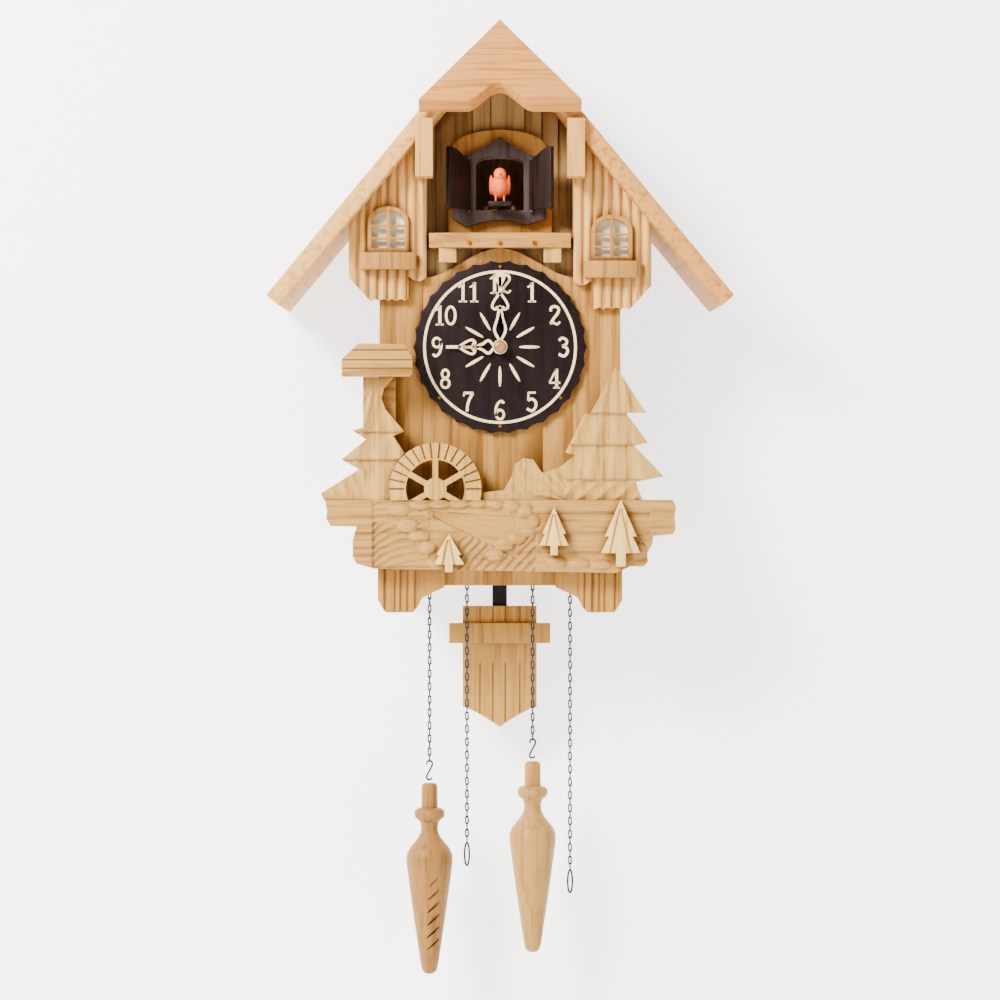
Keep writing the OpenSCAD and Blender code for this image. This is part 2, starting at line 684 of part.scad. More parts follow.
module movement_pillars() color([0.75, 0.6, 0.3]) {
    for (side = [-1, 1], at = [pillar_top, pillar_foot])
        rod_y([side * at[0], at[1]], front_plate_y + plate_t, back_plate_y, pillar_r);
    for (side = [-1, 1], at = [post_top, pillar_foot])
        rod_y([side * at[0], at[1]], case_front, front_plate_y, pillar_r);
}
// the gong: a flat coil of wire on a block
coil_turns = 3;
coil_steps = 24;
coil_wire = 1;
coil_sides = 6;
function coil_point(i) = let (a = i * 360 / coil_steps, n = coil_turns * coil_steps)
    polar(8 + (gong_r - 8) * i / n, a);
module gong_coil() {
    n = coil_turns * coil_steps;
    points = [for (i = [0:n], k = [0:coil_sides - 1])
        let (p = coil_point(i), u = p / norm(p), c = k * 360 / coil_sides)
        [p[0] + u[0] * coil_wire * cos(c), gong_y + coil_wire * sin(c),
            gong_z + p[1] + u[1] * coil_wire * cos(c)]];
    walls = [for (i = [0:n - 1], k = [0:coil_sides - 1])
        let (a = i * coil_sides + k, b = i * coil_sides + (k + 1) % coil_sides)
        each [[a, b + coil_sides, b], [a, a + coil_sides, b + coil_sides]]];
    caps = [for (k = [1:coil_sides - 2]) each [[0, k, k + 1],
        [n * coil_sides, n * coil_sides + k + 1, n * coil_sides + k]]];
    polyhedron(points, concat(walls, caps));
}
module gong() color([0.3, 0.32, 0.38]) {
    gong_coil();
    rod_y([8, gong_z], gong_y - 3, -cover_t, 4);
}
module pipe_boxes() color([0.82, 0.72, 0.55]) for (side = [-1, 1]) difference() {
    union() {
        translate([side > 0 ? pipe_x : -pipe_x - pipe_w, pipe_front, pipe_foot])
            cube([pipe_w, pipe_back - pipe_front, pipe_top - pipe_foot]);
        translate([side > 0 ? pipe_x + 1 : -pipe_x - pipe_w + 1, pipe_front + 1, pipe_top])
            cube([pipe_w - 2, pipe_back - pipe_front - 2, bellows_top - bellows_t - gap - pipe_top]);
        // batten to the case side
        translate([side > 0 ? pipe_x + pipe_w : -inner_x, -40, pipe_foot + 4])
            cube([inner_x - pipe_x - pipe_w, 16, 30]);
    }
    translate([side > 0 ? pipe_x + 3 : -pipe_x - pipe_w + 3, pipe_front - through, pipe_foot + 8])
        cube([pipe_w - 6, 12, 14]);
}
module bird_rail() color([0.8, 0.68, 0.5]) {
    translate([-rail_x, recess_back, perch_top - perch_t - gap - 8])
        cube([2 * rail_x, -recess_back - cover_t, 8]);
    // guides beside the perch
    for (side = [-1, 1])
        translate([side * (rail_x - guide_t / 2) - guide_t / 2, recess_back,
            perch_top - perch_t - gap]) cube([guide_t, 60, 2.5]);
}
module bird() color([0.95, 0.55, 0.3]) {
    // body, head and beak
    translate([0, bird_y, -9.3]) rotate([38, 0, 0]) rotate_extrude() polygon(concat([[0, -12]],
        [for (i = [1:11]) [6.4 * sin(i * 15), -12 * cos(i * 15)]], [[0, 12]]));
    translate([0, bird_y - 6.2, -0.6]) sphere(r = 4.7);
    translate([0, bird_y - 10, -1]) rotate([105, 0, 0]) cylinder(h = 5, r1 = 1.6, r2 = 0.3);
    // legs
    for (x = [-3, 3]) translate([x, bird_y - 1, perch_top + gap]) cylinder(h = 7, r = 0.6);
    // wings
    for (side = [-1, 1]) translate([side * 6.9, bird_y + 1, -8]) rotate([38, 0, 0])
        translate([-1, -3.5, -9]) cube([2, 7, 15]);
}
module bird_perch() color([0.2, 0.16, 0.15]) {
    translate([-perch_w / 2, bird_y - 12, perch_top - perch_t]) cube([perch_w, 24, perch_t]);
    translate([-arm_w / 2, bird_y + 12, perch_top - perch_t])
        cube([arm_w, arm_back - bird_y - 12, perch_t]);
}

module centre_wheel() color([0.8, 0.65, 0.3]) {
    arbor(centre_at);
    gear(centre_at, great_y - 1.5, 5, centre_leaves, great_m, tooth_phase);
    crossed_wheel(centre_at, centre_y, centre_teeth, centre_m, tooth_phase);
    // the front end carries the cannon pinion and the minute hand
    rod_y(centre_at, minute_y - 1, centre_y, pipe_bore);
    gear(centre_at, minute_wheel_y, 2.5, cannon_teeth, cannon_m, tooth_phase);
}
// a pierced hand that points along +Z: boss, neck, loop, heart and leaf
module hand(len, y, bore, loop_r, heart_r, leaf_w) difference() {
    board(y, hand_t) difference() {
        union() {
            circle(r = 5.4);
            translate([-1.1, 0]) square([2.2, len - 6]);
            translate([0, len * 0.32]) circle(r = loop_r);
            translate([0, len * 0.61]) circle(r = heart_r);
            polygon([[0, len], [-leaf_w / 2, len - 7], [-0.8, len - 12], [0.8, len - 12],
                [leaf_w / 2, len - 7]]);
        }
        translate([0, len * 0.32]) circle(r = loop_r - 1.8);
        translate([0, len * 0.61]) circle(r = heart_r - 2);
    }
    rod_y([0, 0], y - through, y + hand_t + through, bore);
}
module minute_hand() color([0.94, 0.82, 0.6]) translate([0, 0, dial_z]) {
    hand(minute_len, minute_y, pipe_bore + run_fit, 4.6, 6.4, 7);
    rod_y([0, 0], minute_y - 5.5, minute_y - 1.05, 4.6);
}
module hour_hand() color([0.94, 0.82, 0.6]) translate([0, 0, dial_z])
    rotate([0, -90, 0]) hand(hour_len, hour_y, pipe_r, 4.8, 5.8, 4);
module hour_wheel() color([0.8, 0.65, 0.3]) difference() {
    union() {
        gear(centre_at, hour_wheel_y, 2, hour_teeth, hour_m, hour_phase);
        rod_y(centre_at, hour_y, hour_wheel_y + 2, pipe_r);
    }
    rod_y(centre_at, hour_y - through, hour_wheel_y + 3, pipe_bore + run_fit);
}
module minute_wheel() color([0.8, 0.65, 0.3]) difference() {
    union() {
        gear(minute_at, minute_wheel_y, 2, minute_teeth, cannon_m, minute_phase);
        gear(minute_at, hour_wheel_y - 0.5, hour_wheel_y * -1 + minute_wheel_y + 0.5,
            minute_leaves, hour_m, minute_phase);
    }
    rod_y(minute_at, hour_wheel_y - 2, front_plate_y, pivot_r + run_fit);
}
module third_wheel() color([0.8, 0.65, 0.3]) {
    arbor(third_at, third_arbor_r);
    gear(third_at, centre_y - 1.5, 4.5, third_leaves, centre_m, third_phase);
    crossed_wheel(third_at, third_y, third_teeth, third_m, third_phase);
}
module escape_wheel() color([0.8, 0.65, 0.3]) {
    arbor(escape_at, escape_arbor_r);
    gear(escape_at, third_y - 1.5, 4.5, escape_leaves, third_m, escape_phase);
    translate([escape_at[0], 0, escape_at[1]]) board(escape_y, wheel_t)
        polygon([for (i = [0:escape_teeth - 1], k = [[0, escape_r], [0.25, escape_r - 1.4]])
            polar(k[1], (i + k[0]) * 360 / escape_teeth)]);
}
module time_great_wheel() color([0.8, 0.65, 0.3]) {
    arbor(great_at);
    crossed_wheel(great_at, great_y, great_teeth, great_m, great_phase);
}
module strike_great_wheel() color([0.8, 0.65, 0.3]) {
    arbor(strike_at);
    crossed_wheel(strike_at, great_y, great_teeth, strike_m, tooth_phase);
}
module strike_second_wheel() color([0.8, 0.65, 0.3]) {
    arbor(second_at);
    gear(second_at, great_y - 1.5, 4.5, second_leaves, strike_m, second_phase);
    crossed_wheel(second_at, second_y, second_teeth, second_m, second_phase);
}
module fly() color([0.7, 0.7, 0.7]) {
    arbor(fly_at);
    gear(fly_at, second_y - 1.5, 4.5, fly_leaves, second_m, fly_phase);
    translate([fly_at[0] - 8, -52, fly_at[1] - 0.5]) cube([16, 12, 1]);
}
module verge() color([0.55, 0.55, 0.58]) {
    arbor(verge_at);
    rod_y(verge_at, back_plate_y, pend_y - 3.5, pivot_r);
    translate([verge_at[0], 0, verge_at[1]]) board(escape_y, wheel_t)
        polygon([[0, 3], [9, -3], [8.6, -6.6], [7.2, -4], [0, -1.6], [-7.2, -4], [-8.6, -6.6],
            [-9, -3]]);
    crutch_foot = crutch_z - verge_at[1];
    translate([verge_at[0], 0, verge_at[1]]) board(pend_y - 5, 1.5)
        polygon([[-1.6, 1.6], [1.6, 1.6], [7, -6], [7, crutch_foot + 6], [2.4, crutch_foot],
            [-2.4, crutch_foot], [-2.4, crutch_foot + 1.6], [1.6, crutch_foot + 1.6],
            [5.4, crutch_foot + 7], [5.4, -5.4], [1, -1.6], [-1.6, -1.6]]);
    // the fork that holds the leader
    for (x = [-2.4, 1.4]) translate([x, pend_y - 4, crutch_z]) cube([1, 6, 1.6]);
}
module pendulum_rod() color([0.12, 0.11, 0.11]) {
    difference() {
        union() {
            rod_y([0, suspension_z], pend_y - 1, pend_y + 1, 3);
            translate([0, pend_y, rod_top - 8])
                cylinder(h = suspension_z - rod_top + 5.5, r = leader_r);
        }
        rod_y([0, suspension_z], pend_y - 2, pend_y + 2, suspension_r + run_fit);
    }
    translate([-rod_w / 2, pend_y - rod_t / 2, suspension_z - rod_len])
        cube([rod_w, rod_t, rod_top - suspension_z + rod_len]);
}
module pendulum_bob() color([0.85, 0.7, 0.5]) {
    front = pend_y - rod_t / 2 - gap - bob_t;
    translate([0, 0, bob_top]) {
        board(front, bob_t) polygon(concat([[bob_x, 0], [-bob_x, 0], [-bob_x, -75]],
            [for (i = [1:7]) [-bob_x + i * bob_x / 8, -75 - 15 * pow(i / 8, 1.3)]], [[0, -bob_h]],
            [for (i = [7:-1:1]) [bob_x - i * bob_x / 8, -75 - 15 * pow(i / 8, 1.3)]],
            [[bob_x, -75]]));
        board(front - 3, 3) translate([-bar_x, -27.5]) square([2 * bar_x, bar_h]);
        // the strap that slides on the rod
        for (side = [-1, 1])
            translate([side * (rod_w / 2 + gap + 1) - 1, front + bob_t, -50])
                cube([2, rod_t + 2 * gap + 1, 30]);
        translate([-rod_w / 2 - gap - 2, pend_y + rod_t / 2 + gap, -50])
            cube([rod_w + 2 * gap + 4, 1.5, 30]);
    }
}

module chain_wheel(at) color([0.78, 0.62, 0.3]) difference() {
    union() {
        rod_y(at, chain_y - link_w / 2 - 0.6, chain_y + link_w / 2 + 0.6, core_r);
        for (y = [chain_y - link_w / 2 - 1.8, chain_y + link_w / 2 + 0.6])
            rod_y(at, y, y + 1.2, flange_r);
    }
    rod_y(at, chain_y - 10, chain_y + 10, arbor_r + run_fit);
}
module time_chain_wheel() chain_wheel(great_at);
module strike_chain_wheel() chain_wheel(strike_at);
// one link: an open oval of wire, standing up
module link() {
    inner = link_pitch + 0.1;
    outer = inner + 2 * link_wire;
    c = 0.9;
    translate([0, link_wire / 2, 0]) rotate([90, 0, 0]) linear_extrude(link_wire) difference() {
        polygon([[-link_w / 2, -outer / 2 + c], [-link_w / 2 + c, -outer / 2],
            [link_w / 2 - c, -outer / 2], [link_w / 2, -outer / 2 + c],
            [link_w / 2, outer / 2 - c], [link_w / 2 - c, outer / 2],
            [-link_w / 2 + c, outer / 2], [-link_w / 2, outer / 2 - c]]);
        square([link_w - 2 * link_wire, inner], center = true);
    }
}
// a fall of chain, from the level of its wheel down to this height
module fall(x, top, foot) {
    n = floor((top - foot) / link_pitch);
    for (i = [0:n - 1])
        translate([x, chain_y, foot + (i + 0.5) * link_pitch])
            rotate([0, 0, (i + 1) % 2 * 90]) link();
}
// a ring of wire hanging in the lowest link
module pull_ring(x, z) translate([x, chain_y, z - ring_len / 2 + 1])
    board(-eye_wire, 2 * eye_wire) difference() {
        square([5, ring_len], center = true);
        square([5 - 4 * eye_wire, ring_len - 4 * eye_wire], center = true);
    }
module hook(x, z) translate([x, chain_y, z - hook_len / 2 + 1])
    board(-eye_wire, 2 * eye_wire) difference() {
        square([6.5, hook_len], center = true);
        square([6.5 - 4 * eye_wire, hook_len - 4 * eye_wire], center = true);
    }
module time_chain() color([0.12, 0.12, 0.12]) {
    fall(chain_inner, great_at[1], time_hook_z);
    hook(chain_inner, time_hook_z + eye_play);
}
module time_pull_chain() color([0.12, 0.12, 0.12]) {
    fall(chain_outer, great_at[1], time_ring_z);
    pull_ring(chain_outer, time_ring_z + eye_play);
}
module strike_chain() color([0.12, 0.12, 0.12]) {
    fall(-chain_outer, great_at[1], strike_hook_z);
    hook(-chain_outer, strike_hook_z + eye_play);
}
module strike_pull_chain() color([0.12, 0.12, 0.12]) {
    fall(-chain_inner, great_at[1], strike_ring_z);
    pull_ring(-chain_inner, strike_ring_z + eye_play);
}
// a turned weight: stub, collar, neck, belly and tail
module weight(x, top) translate([x, chain_y, top]) rotate_extrude() polygon(concat(
    [[0, 0], [5, 0], [6.2, -2], [6.2, -18.4], [11.4, -19.6], [11.4, -26.2], [6.8, -27.6],
        [6.3, -36]],
    [for (i = [1:8]) [6.3 + (weight_r - 6.3) * sin(i * 90 / 8), -36 - 19.3 * (1 - cos(i * 90 / 8))]],
    [for (i = [1:12]) [6 + (weight_r - 6) * pow(cos(i * 90 / 12), 1.25),
        -55.3 - (weight_len - 57.3) * i / 12]],
    [[0, -weight_len]]));
module time_weight() color([0.82, 0.66, 0.47]) weight(chain_inner, time_hook_z - hook_len);
module strike_weight() color([0.8, 0.63, 0.44]) weight(-chain_outer, strike_hook_z - hook_len);
module gong_hammer() color([0.4, 0.4, 0.42]) {
    difference() {
        rod_y(hammer_at, -26, -21.5, 3);
        rod_y(hammer_at, -27, -20, pivot_r + run_fit);
    }
    board(-25, 2) polygon([hammer_at + [-1, -2.5], hammer_at + [1.5, -2.5],
        hammer_head + [1, 0], hammer_head + [-1.5, 0]]);
    rod_y(hammer_head, -25, -11, 4);
}
module bellows(side) color([0.78, 0.62, 0.42])
    translate([side > 0 ? pipe_x : -pipe_x - pipe_w, pipe_front, bellows_top - bellows_t])
        cube([pipe_w, pipe_back - pipe_front, bellows_t]);
module bellows_left() bellows(-1);
module bellows_right() bellows(1);

case_shell();
back_cover();
hanger_plate();
screws_and_nails();
upper_wall();
face_board();
roof_left();
roof_right();
hip_board();
brackets();
dormer_left();
dormer_right();
windows();
door_backboard();
door_surround();
balcony_shelf();
dial_plate();
dial_markings();
spacer_blocks();
carved_base();
tree_left();
post_cap();
mill_wheel();
trees_right();
small_trees();
corner_planks();
movement_plates();
movement_pillars();
gong();
pipe_boxes();
bird_rail();
door_left();
door_right();
bird();
bird_perch();
centre_wheel();
minute_hand();
hour_hand();
hour_wheel();
minute_wheel();
third_wheel();
escape_wheel();
time_great_wheel();
strike_great_wheel();
strike_second_wheel();
fly();
verge();
pendulum_rod();
pendulum_bob();
time_chain_wheel();
strike_chain_wheel();
time_chain();
time_pull_chain();
strike_chain();
strike_pull_chain();
time_weight();
strike_weight();
gong_hammer();
bellows_left();
bellows_right();
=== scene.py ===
# Cuckoo clock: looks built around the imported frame, in metres, dial facing -Y
import json
import math
import random

import bpy
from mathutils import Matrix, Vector, noise


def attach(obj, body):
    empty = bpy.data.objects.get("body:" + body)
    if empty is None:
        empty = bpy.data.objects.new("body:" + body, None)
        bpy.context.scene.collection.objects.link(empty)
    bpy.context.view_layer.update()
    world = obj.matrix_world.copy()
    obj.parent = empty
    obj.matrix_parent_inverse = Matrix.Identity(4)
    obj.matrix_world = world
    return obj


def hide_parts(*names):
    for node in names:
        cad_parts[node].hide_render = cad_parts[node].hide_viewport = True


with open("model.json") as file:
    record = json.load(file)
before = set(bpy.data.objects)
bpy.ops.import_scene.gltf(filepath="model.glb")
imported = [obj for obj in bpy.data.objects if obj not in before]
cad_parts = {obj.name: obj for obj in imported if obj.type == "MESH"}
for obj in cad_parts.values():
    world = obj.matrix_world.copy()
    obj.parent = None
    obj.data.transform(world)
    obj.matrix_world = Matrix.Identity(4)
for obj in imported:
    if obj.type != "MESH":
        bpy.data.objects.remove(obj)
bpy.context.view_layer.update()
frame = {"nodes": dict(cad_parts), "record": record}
mm = 0.001
print("frame loaded:", len(frame["nodes"]), "nodes")


# small tools: selecting, shaping and finishing a piece
def clearSelection():
    if bpy.context.object and bpy.context.object.mode != "OBJECT":
        bpy.ops.object.mode_set(mode="OBJECT")
    bpy.ops.object.select_all(action="DESELECT")


def pick(obj):
    clearSelection()
    obj.select_set(True)
    bpy.context.view_layer.objects.active = obj


def applyModifiers(obj):
    pick(obj)
    for modifier in list(obj.modifiers):
        bpy.ops.object.modifier_apply(modifier=modifier.name)


def editAll(obj):
    pick(obj)
    bpy.ops.object.mode_set(mode="EDIT")
    bpy.ops.mesh.select_all(action="SELECT")


def leaveEdit():
    bpy.ops.object.mode_set(mode="OBJECT")


def settle(obj):
    # the place goes into the mesh, so the object sits at the origin
    pick(obj)
    bpy.ops.object.transform_apply(location=True, rotation=True, scale=True)


def smooth(obj, angle=32):
    pick(obj)
    bpy.ops.object.shade_smooth_by_angle(angle=math.radians(angle))


def bevelEdges(obj, width, segments=2, angle=35):
    modifier = obj.modifiers.new("bevel", "BEVEL")
    modifier.width = width * mm
    modifier.segments = segments
    modifier.limit_method = "ANGLE"
    modifier.angle_limit = math.radians(angle)
    applyModifiers(obj)


def boolean(obj, other, operation, keep=False):
    modifier = obj.modifiers.new("cut", "BOOLEAN")
    modifier.operation = operation
    modifier.solver = "MANIFOLD"
    modifier.object = other
    applyModifiers(obj)
    if not keep:
        bpy.data.objects.remove(other)


def joinPieces(pieces, name):
    clearSelection()
    for piece in pieces:
        piece.select_set(True)
    bpy.context.view_layer.objects.active = pieces[0]
    bpy.ops.object.join()
    joined = bpy.context.object
    joined.name = name
    return joined


# a flat outline in X and Z (mm), thickened from its front face to its back
def outlinePiece(name, points, front, back):
    clearSelection()
    bpy.ops.mesh.primitive_circle_add(vertices=len(points), radius=0.01, fill_type="NGON")
    obj = bpy.context.object
    obj.name = name
    for vertex, (x, z) in zip(obj.data.vertices, points):
        vertex.co = (x * mm, front * mm, z * mm)
    editAll(obj)
    bpy.ops.mesh.extrude_region_move(
        TRANSFORM_OT_translate={"value": (0, (back - front) * mm, 0)})
    bpy.ops.mesh.select_all(action="SELECT")
    bpy.ops.mesh.normals_make_consistent(inside=False)
    leaveEdit()
    return obj


# a round bar along Y
def barPiece(name, x, z, front, back, radius, vertices=32):
    clearSelection()
    bpy.ops.mesh.primitive_cylinder_add(vertices=vertices, radius=radius * mm,
        depth=(back - front) * mm, location=(x * mm, (front + back) / 2 * mm, z * mm),
        rotation=(math.pi / 2, 0, 0))
    obj = bpy.context.object
    obj.name = name
    settle(obj)
    return obj


# a shape turned about an upright axis: a sphere whose rings take the profile's radii and heights
def turnedPiece(name, profile, x, y, top, segments=48):
    clearSelection()
    rings = len(profile) - 1
    bpy.ops.mesh.primitive_uv_sphere_add(segments=segments, ring_count=rings, radius=1)
    obj = bpy.context.object
    obj.name = name
    for vertex in obj.data.vertices:
        turn = math.acos(max(-1, min(1, vertex.co.z))) / math.pi * rings
        radius, height = profile[round(turn)]
        around = math.atan2(vertex.co.y, vertex.co.x)
        vertex.co = ((x + radius * math.cos(around)) * mm,
            (y + radius * math.sin(around)) * mm, (top + height) * mm)
    return obj


# a copy of a CAD node with merged corners
def cadCopy(node):
    pick(frame["nodes"][node])
    bpy.ops.object.duplicate()
    obj = bpy.context.object
    obj.name = "visual_" + node
    for key in list(obj.keys()):
        del obj[key]
    obj.parent = None
    editAll(obj)
    bpy.ops.mesh.remove_doubles(threshold=0.00001)
    bpy.ops.mesh.dissolve_limited(angle_limit=math.radians(1))
    leaveEdit()
    return obj


def softened(node, width=0.6, segments=2, angle=35):
    obj = cadCopy(node)
    bevelEdges(obj, width, segments, angle)
    smooth(obj)
    return obj


# an outline in X and Y (mm), raised from one height to another
def prismPiece(name, points, low, high):
    clearSelection()
    bpy.ops.mesh.primitive_circle_add(vertices=len(points), radius=0.01, fill_type="NGON")
    obj = bpy.context.object
    obj.name = name
    for vertex, (x, y) in zip(obj.data.vertices, points):
        vertex.co = (x * mm, y * mm, low * mm)
    editAll(obj)
    bpy.ops.mesh.extrude_region_move(
        TRANSFORM_OT_translate={"value": (0, 0, (high - low) * mm)})
    bpy.ops.mesh.select_all(action="SELECT")
    bpy.ops.mesh.normals_make_consistent(inside=False)
    leaveEdit()
    return obj


# V-shaped cuts along lines in X and Z, open to the front
def grooves(obj, lines, front, depth, half):
    for x1, z1, x2, z2 in lines:
        clearSelection()
        bpy.ops.mesh.primitive_cylinder_add(vertices=3, radius=1, depth=2)
        cutter = bpy.context.object
        run = Vector((x2 - x1, 0, z2 - z1))
        across = Vector((-run.z, 0, run.x)).normalized() * half
        lift = Vector((0, -0.3, 0))
        places = [across + lift, Vector((0, depth, 0)), lift - across]
        for vertex in cutter.data.vertices:
            corner = round(math.atan2(vertex.co.y, vertex.co.x) / (2 * math.pi / 3)) % 3
            along = (vertex.co.z + 1) / 2
            vertex.co = (Vector((x1, front, z1)) + run * along + places[corner]) * mm
        editAll(cutter)
        bpy.ops.mesh.normals_make_consistent(inside=False)
        leaveEdit()
        boolean(obj, cutter, "DIFFERENCE")


# a CAD node whose front is carved: a fine grid sunk by depth(x, z), cut to the node's outline
def reliefPiece(node, low, high, front, back, depth, step=0.8):
    clearSelection()
    columns = round((high[0] - low[0]) / step)
    rows = round((high[1] - low[1]) / step)
    bpy.ops.mesh.primitive_grid_add(x_subdivisions=columns, y_subdivisions=rows, size=2)
    slab = bpy.context.object
    slab.name = "relief_" + node
    for vertex in slab.data.vertices:
        x = low[0] + (vertex.co.x + 1) / 2 * (high[0] - low[0])
        z = low[1] + (vertex.co.y + 1) / 2 * (high[1] - low[1])
        vertex.co = (x * mm, (front + 0.05 + max(0, depth(x, z))) * mm, z * mm)
    editAll(slab)
    bpy.ops.mesh.extrude_region_move(TRANSFORM_OT_translate={"value": (0, 40 * mm, 0)})
    leaveEdit()
    for vertex in slab.data.vertices:
        if vertex.co.y > (back + 1) * mm:
            vertex.co.y = (back + 1) * mm
    editAll(slab)
    bpy.ops.mesh.normals_make_consistent(inside=False)
    leaveEdit()
    carved = cadCopy(node)
    boolean(carved, slab, "INTERSECT")
    return carved


# rounded bars between these heights: 0 on a crest, rising to the seams
def bars(z, seams, high):
    for top, foot in zip(seams, seams[1:]):
        if foot <= z <= top:
            u = (2 * z - top - foot) / (top - foot)
            return high * u ** 4
    return high


# needles that fan out from a tip, in tiers that stand proud at their lower edge
def firDepth(x, z, tip, tiers, fan=15):
    angle = math.atan2(x - tip[0], max(2, tip[1] + 14 - z))
    ridges = 1.3 * abs(math.sin(angle * fan))
    for top, foot in zip(tiers, tiers[1:]):
        if foot <= z <= top:
            return ridges + 2.6 * (z - foot) / (top - foot)
    return ridges + 1.5


# chisel marks: shallow cells with slow swells
def chiselled(x, z, size=9):
    cell = noise.voronoi(Vector((x / size, z / size * 1.5, 0.5)))[0]
    return 0.9 * (cell[1] - cell[0]) * -1 + 0.9 + 0.5 * noise.noise(Vector((x / 14, z / 9, 2)))


# a smooth run of points through the given ones
def flowing(points, steps=5):
    result = []
    for index in range(len(points) - 1):
        a, b = points[max(0, index - 1)], points[index]
        c, d = points[index + 1], points[min(len(points) - 1, index + 2)]
        for step in range(steps):
            t = step / steps
            result.append(tuple(0.5 * (2 * b[k] + (c[k] - a[k]) * t
                + (2 * a[k] - 5 * b[k] + 4 * c[k] - d[k]) * t * t
                + (3 * b[k] - a[k] - 3 * c[k] + d[k]) * t ** 3) for k in (0, 1)))
    return result + [points[-1]]


# a band of this width along points in X and Z
def strokePiece(points, width, front, back):
    sides = ([], [])
    for index, (x, z) in enumerate(points):
        before = points[max(0, index - 1)]
        after = points[min(len(points) - 1, index + 1)]
        if math.dist(points[0], points[-1]) < 0.01 and index in (0, len(points) - 1):
            before, after = points[-2], points[1]
        length = math.dist(before, after) or 1
        turn = ((before[1] - after[1]) / length, (after[0] - before[0]) / length)
        for side, sign in zip(sides, (1, -1)):
            side.append((x + sign * turn[0] * width / 2, z + sign * turn[1] * width / 2))
    return outlinePiece("stroke", sides[0] + sides[1][::-1], front, back)


def windowArch(half, high, foot):
    spring = foot + high - half * 0.75
    return [(-half, foot), (half, foot)] + [(half * math.cos(i * math.pi / 16),
        spring + half * 0.75 * math.sin(i * math.pi / 16)) for i in range(17)]


# bent wire through points (mm)
def wirePiece(points, radius):
    clearSelection()
    bpy.ops.curve.primitive_nurbs_path_add(location=(0, 0, 0))
    wire = bpy.context.object
    path = wire.data.splines[0]
    path.points.add(len(points) - len(path.points))
    for spot, (x, y, z) in zip(path.points, points):
        spot.co = (x * mm, y * mm, z * mm, 1)
    path.use_endpoint_u = True
    path.order_u = 3
    path.resolution_u = 3
    wire.data.bevel_depth = radius * mm
    wire.data.bevel_resolution = 2
    wire.data.use_fill_caps = True
    pick(wire)
    bpy.ops.object.convert(target="MESH")
    return bpy.context.object


def bodyOf(node):
    for body, nodes in frame["record"]["behaviour"]["bodies"].items():
        if node in nodes:
            return body


def finishPiece(obj, node, paint, standsFor=True, angle=32):
    if angle:
        smooth(obj, angle)
    obj.data.materials.clear()
    obj.data.materials.append(paint)
    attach(obj, bodyOf(node))
    if standsFor:
        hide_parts(node)
    return obj


# finishes
def colour(r, g, b):
    return tuple(0.95 * (((c / 255 + 0.055) / 1.055) ** 2.4) ** 2.0 for c in (r, g, b)) + (1,)


def newMaterial(name):
    material = bpy.data.materials.new(name)
    material.use_nodes = True
    tree = material.node_tree
    return material, tree, tree.nodes["Principled BSDF"]


def stretchedNoise(tree, scale, stretch, detail=4, place="Object"):
    place = tree.nodes.new("ShaderNodeTexCoord").outputs[place]
    mapping = tree.nodes.new("ShaderNodeMapping")
    mapping.inputs["Scale"].default_value = stretch
    noise = tree.nodes.new("ShaderNodeTexNoise")
    noise.inputs["Scale"].default_value = scale
    noise.inputs["Detail"].default_value = detail
    tree.links.new(place, mapping.inputs["Vector"])
    tree.links.new(mapping.outputs[0], noise.inputs["Vector"])
    return noise.outputs["Fac"]


def ramp(tree, source, stops):
    node = tree.nodes.new("ShaderNodeValToRGB")
    node.color_ramp.elements[0].position = stops[0][0]
    node.color_ramp.elements[0].color = stops[0][1]
    node.color_ramp.elements[1].position = stops[-1][0]
    node.color_ramp.elements[1].color = stops[-1][1]
    for position, value in stops[1:-1]:
        node.color_ramp.elements.new(position).color = value
    tree.links.new(source, node.inputs[0])
    return node.outputs[0]


def blendColours(tree, first, second, amount, mode="MIX"):
    node = tree.nodes.new("ShaderNodeMix")
    node.data_type = "RGBA"
    node.blend_type = mode
    if isinstance(amount, float):
        node.inputs[0].default_value = amount
    else:
        tree.links.new(amount, node.inputs[0])
    tree.links.new(first, node.inputs[6])
    if isinstance(second, tuple):
        node.inputs[7].default_value = second
    else:
        tree.links.new(second, node.inputs[7])
    return node.outputs[2]


grainStretch = {"X": (0.05, 1, 1), "Y": (1, 0.05, 1), "Z": (1, 1, 0.05)}


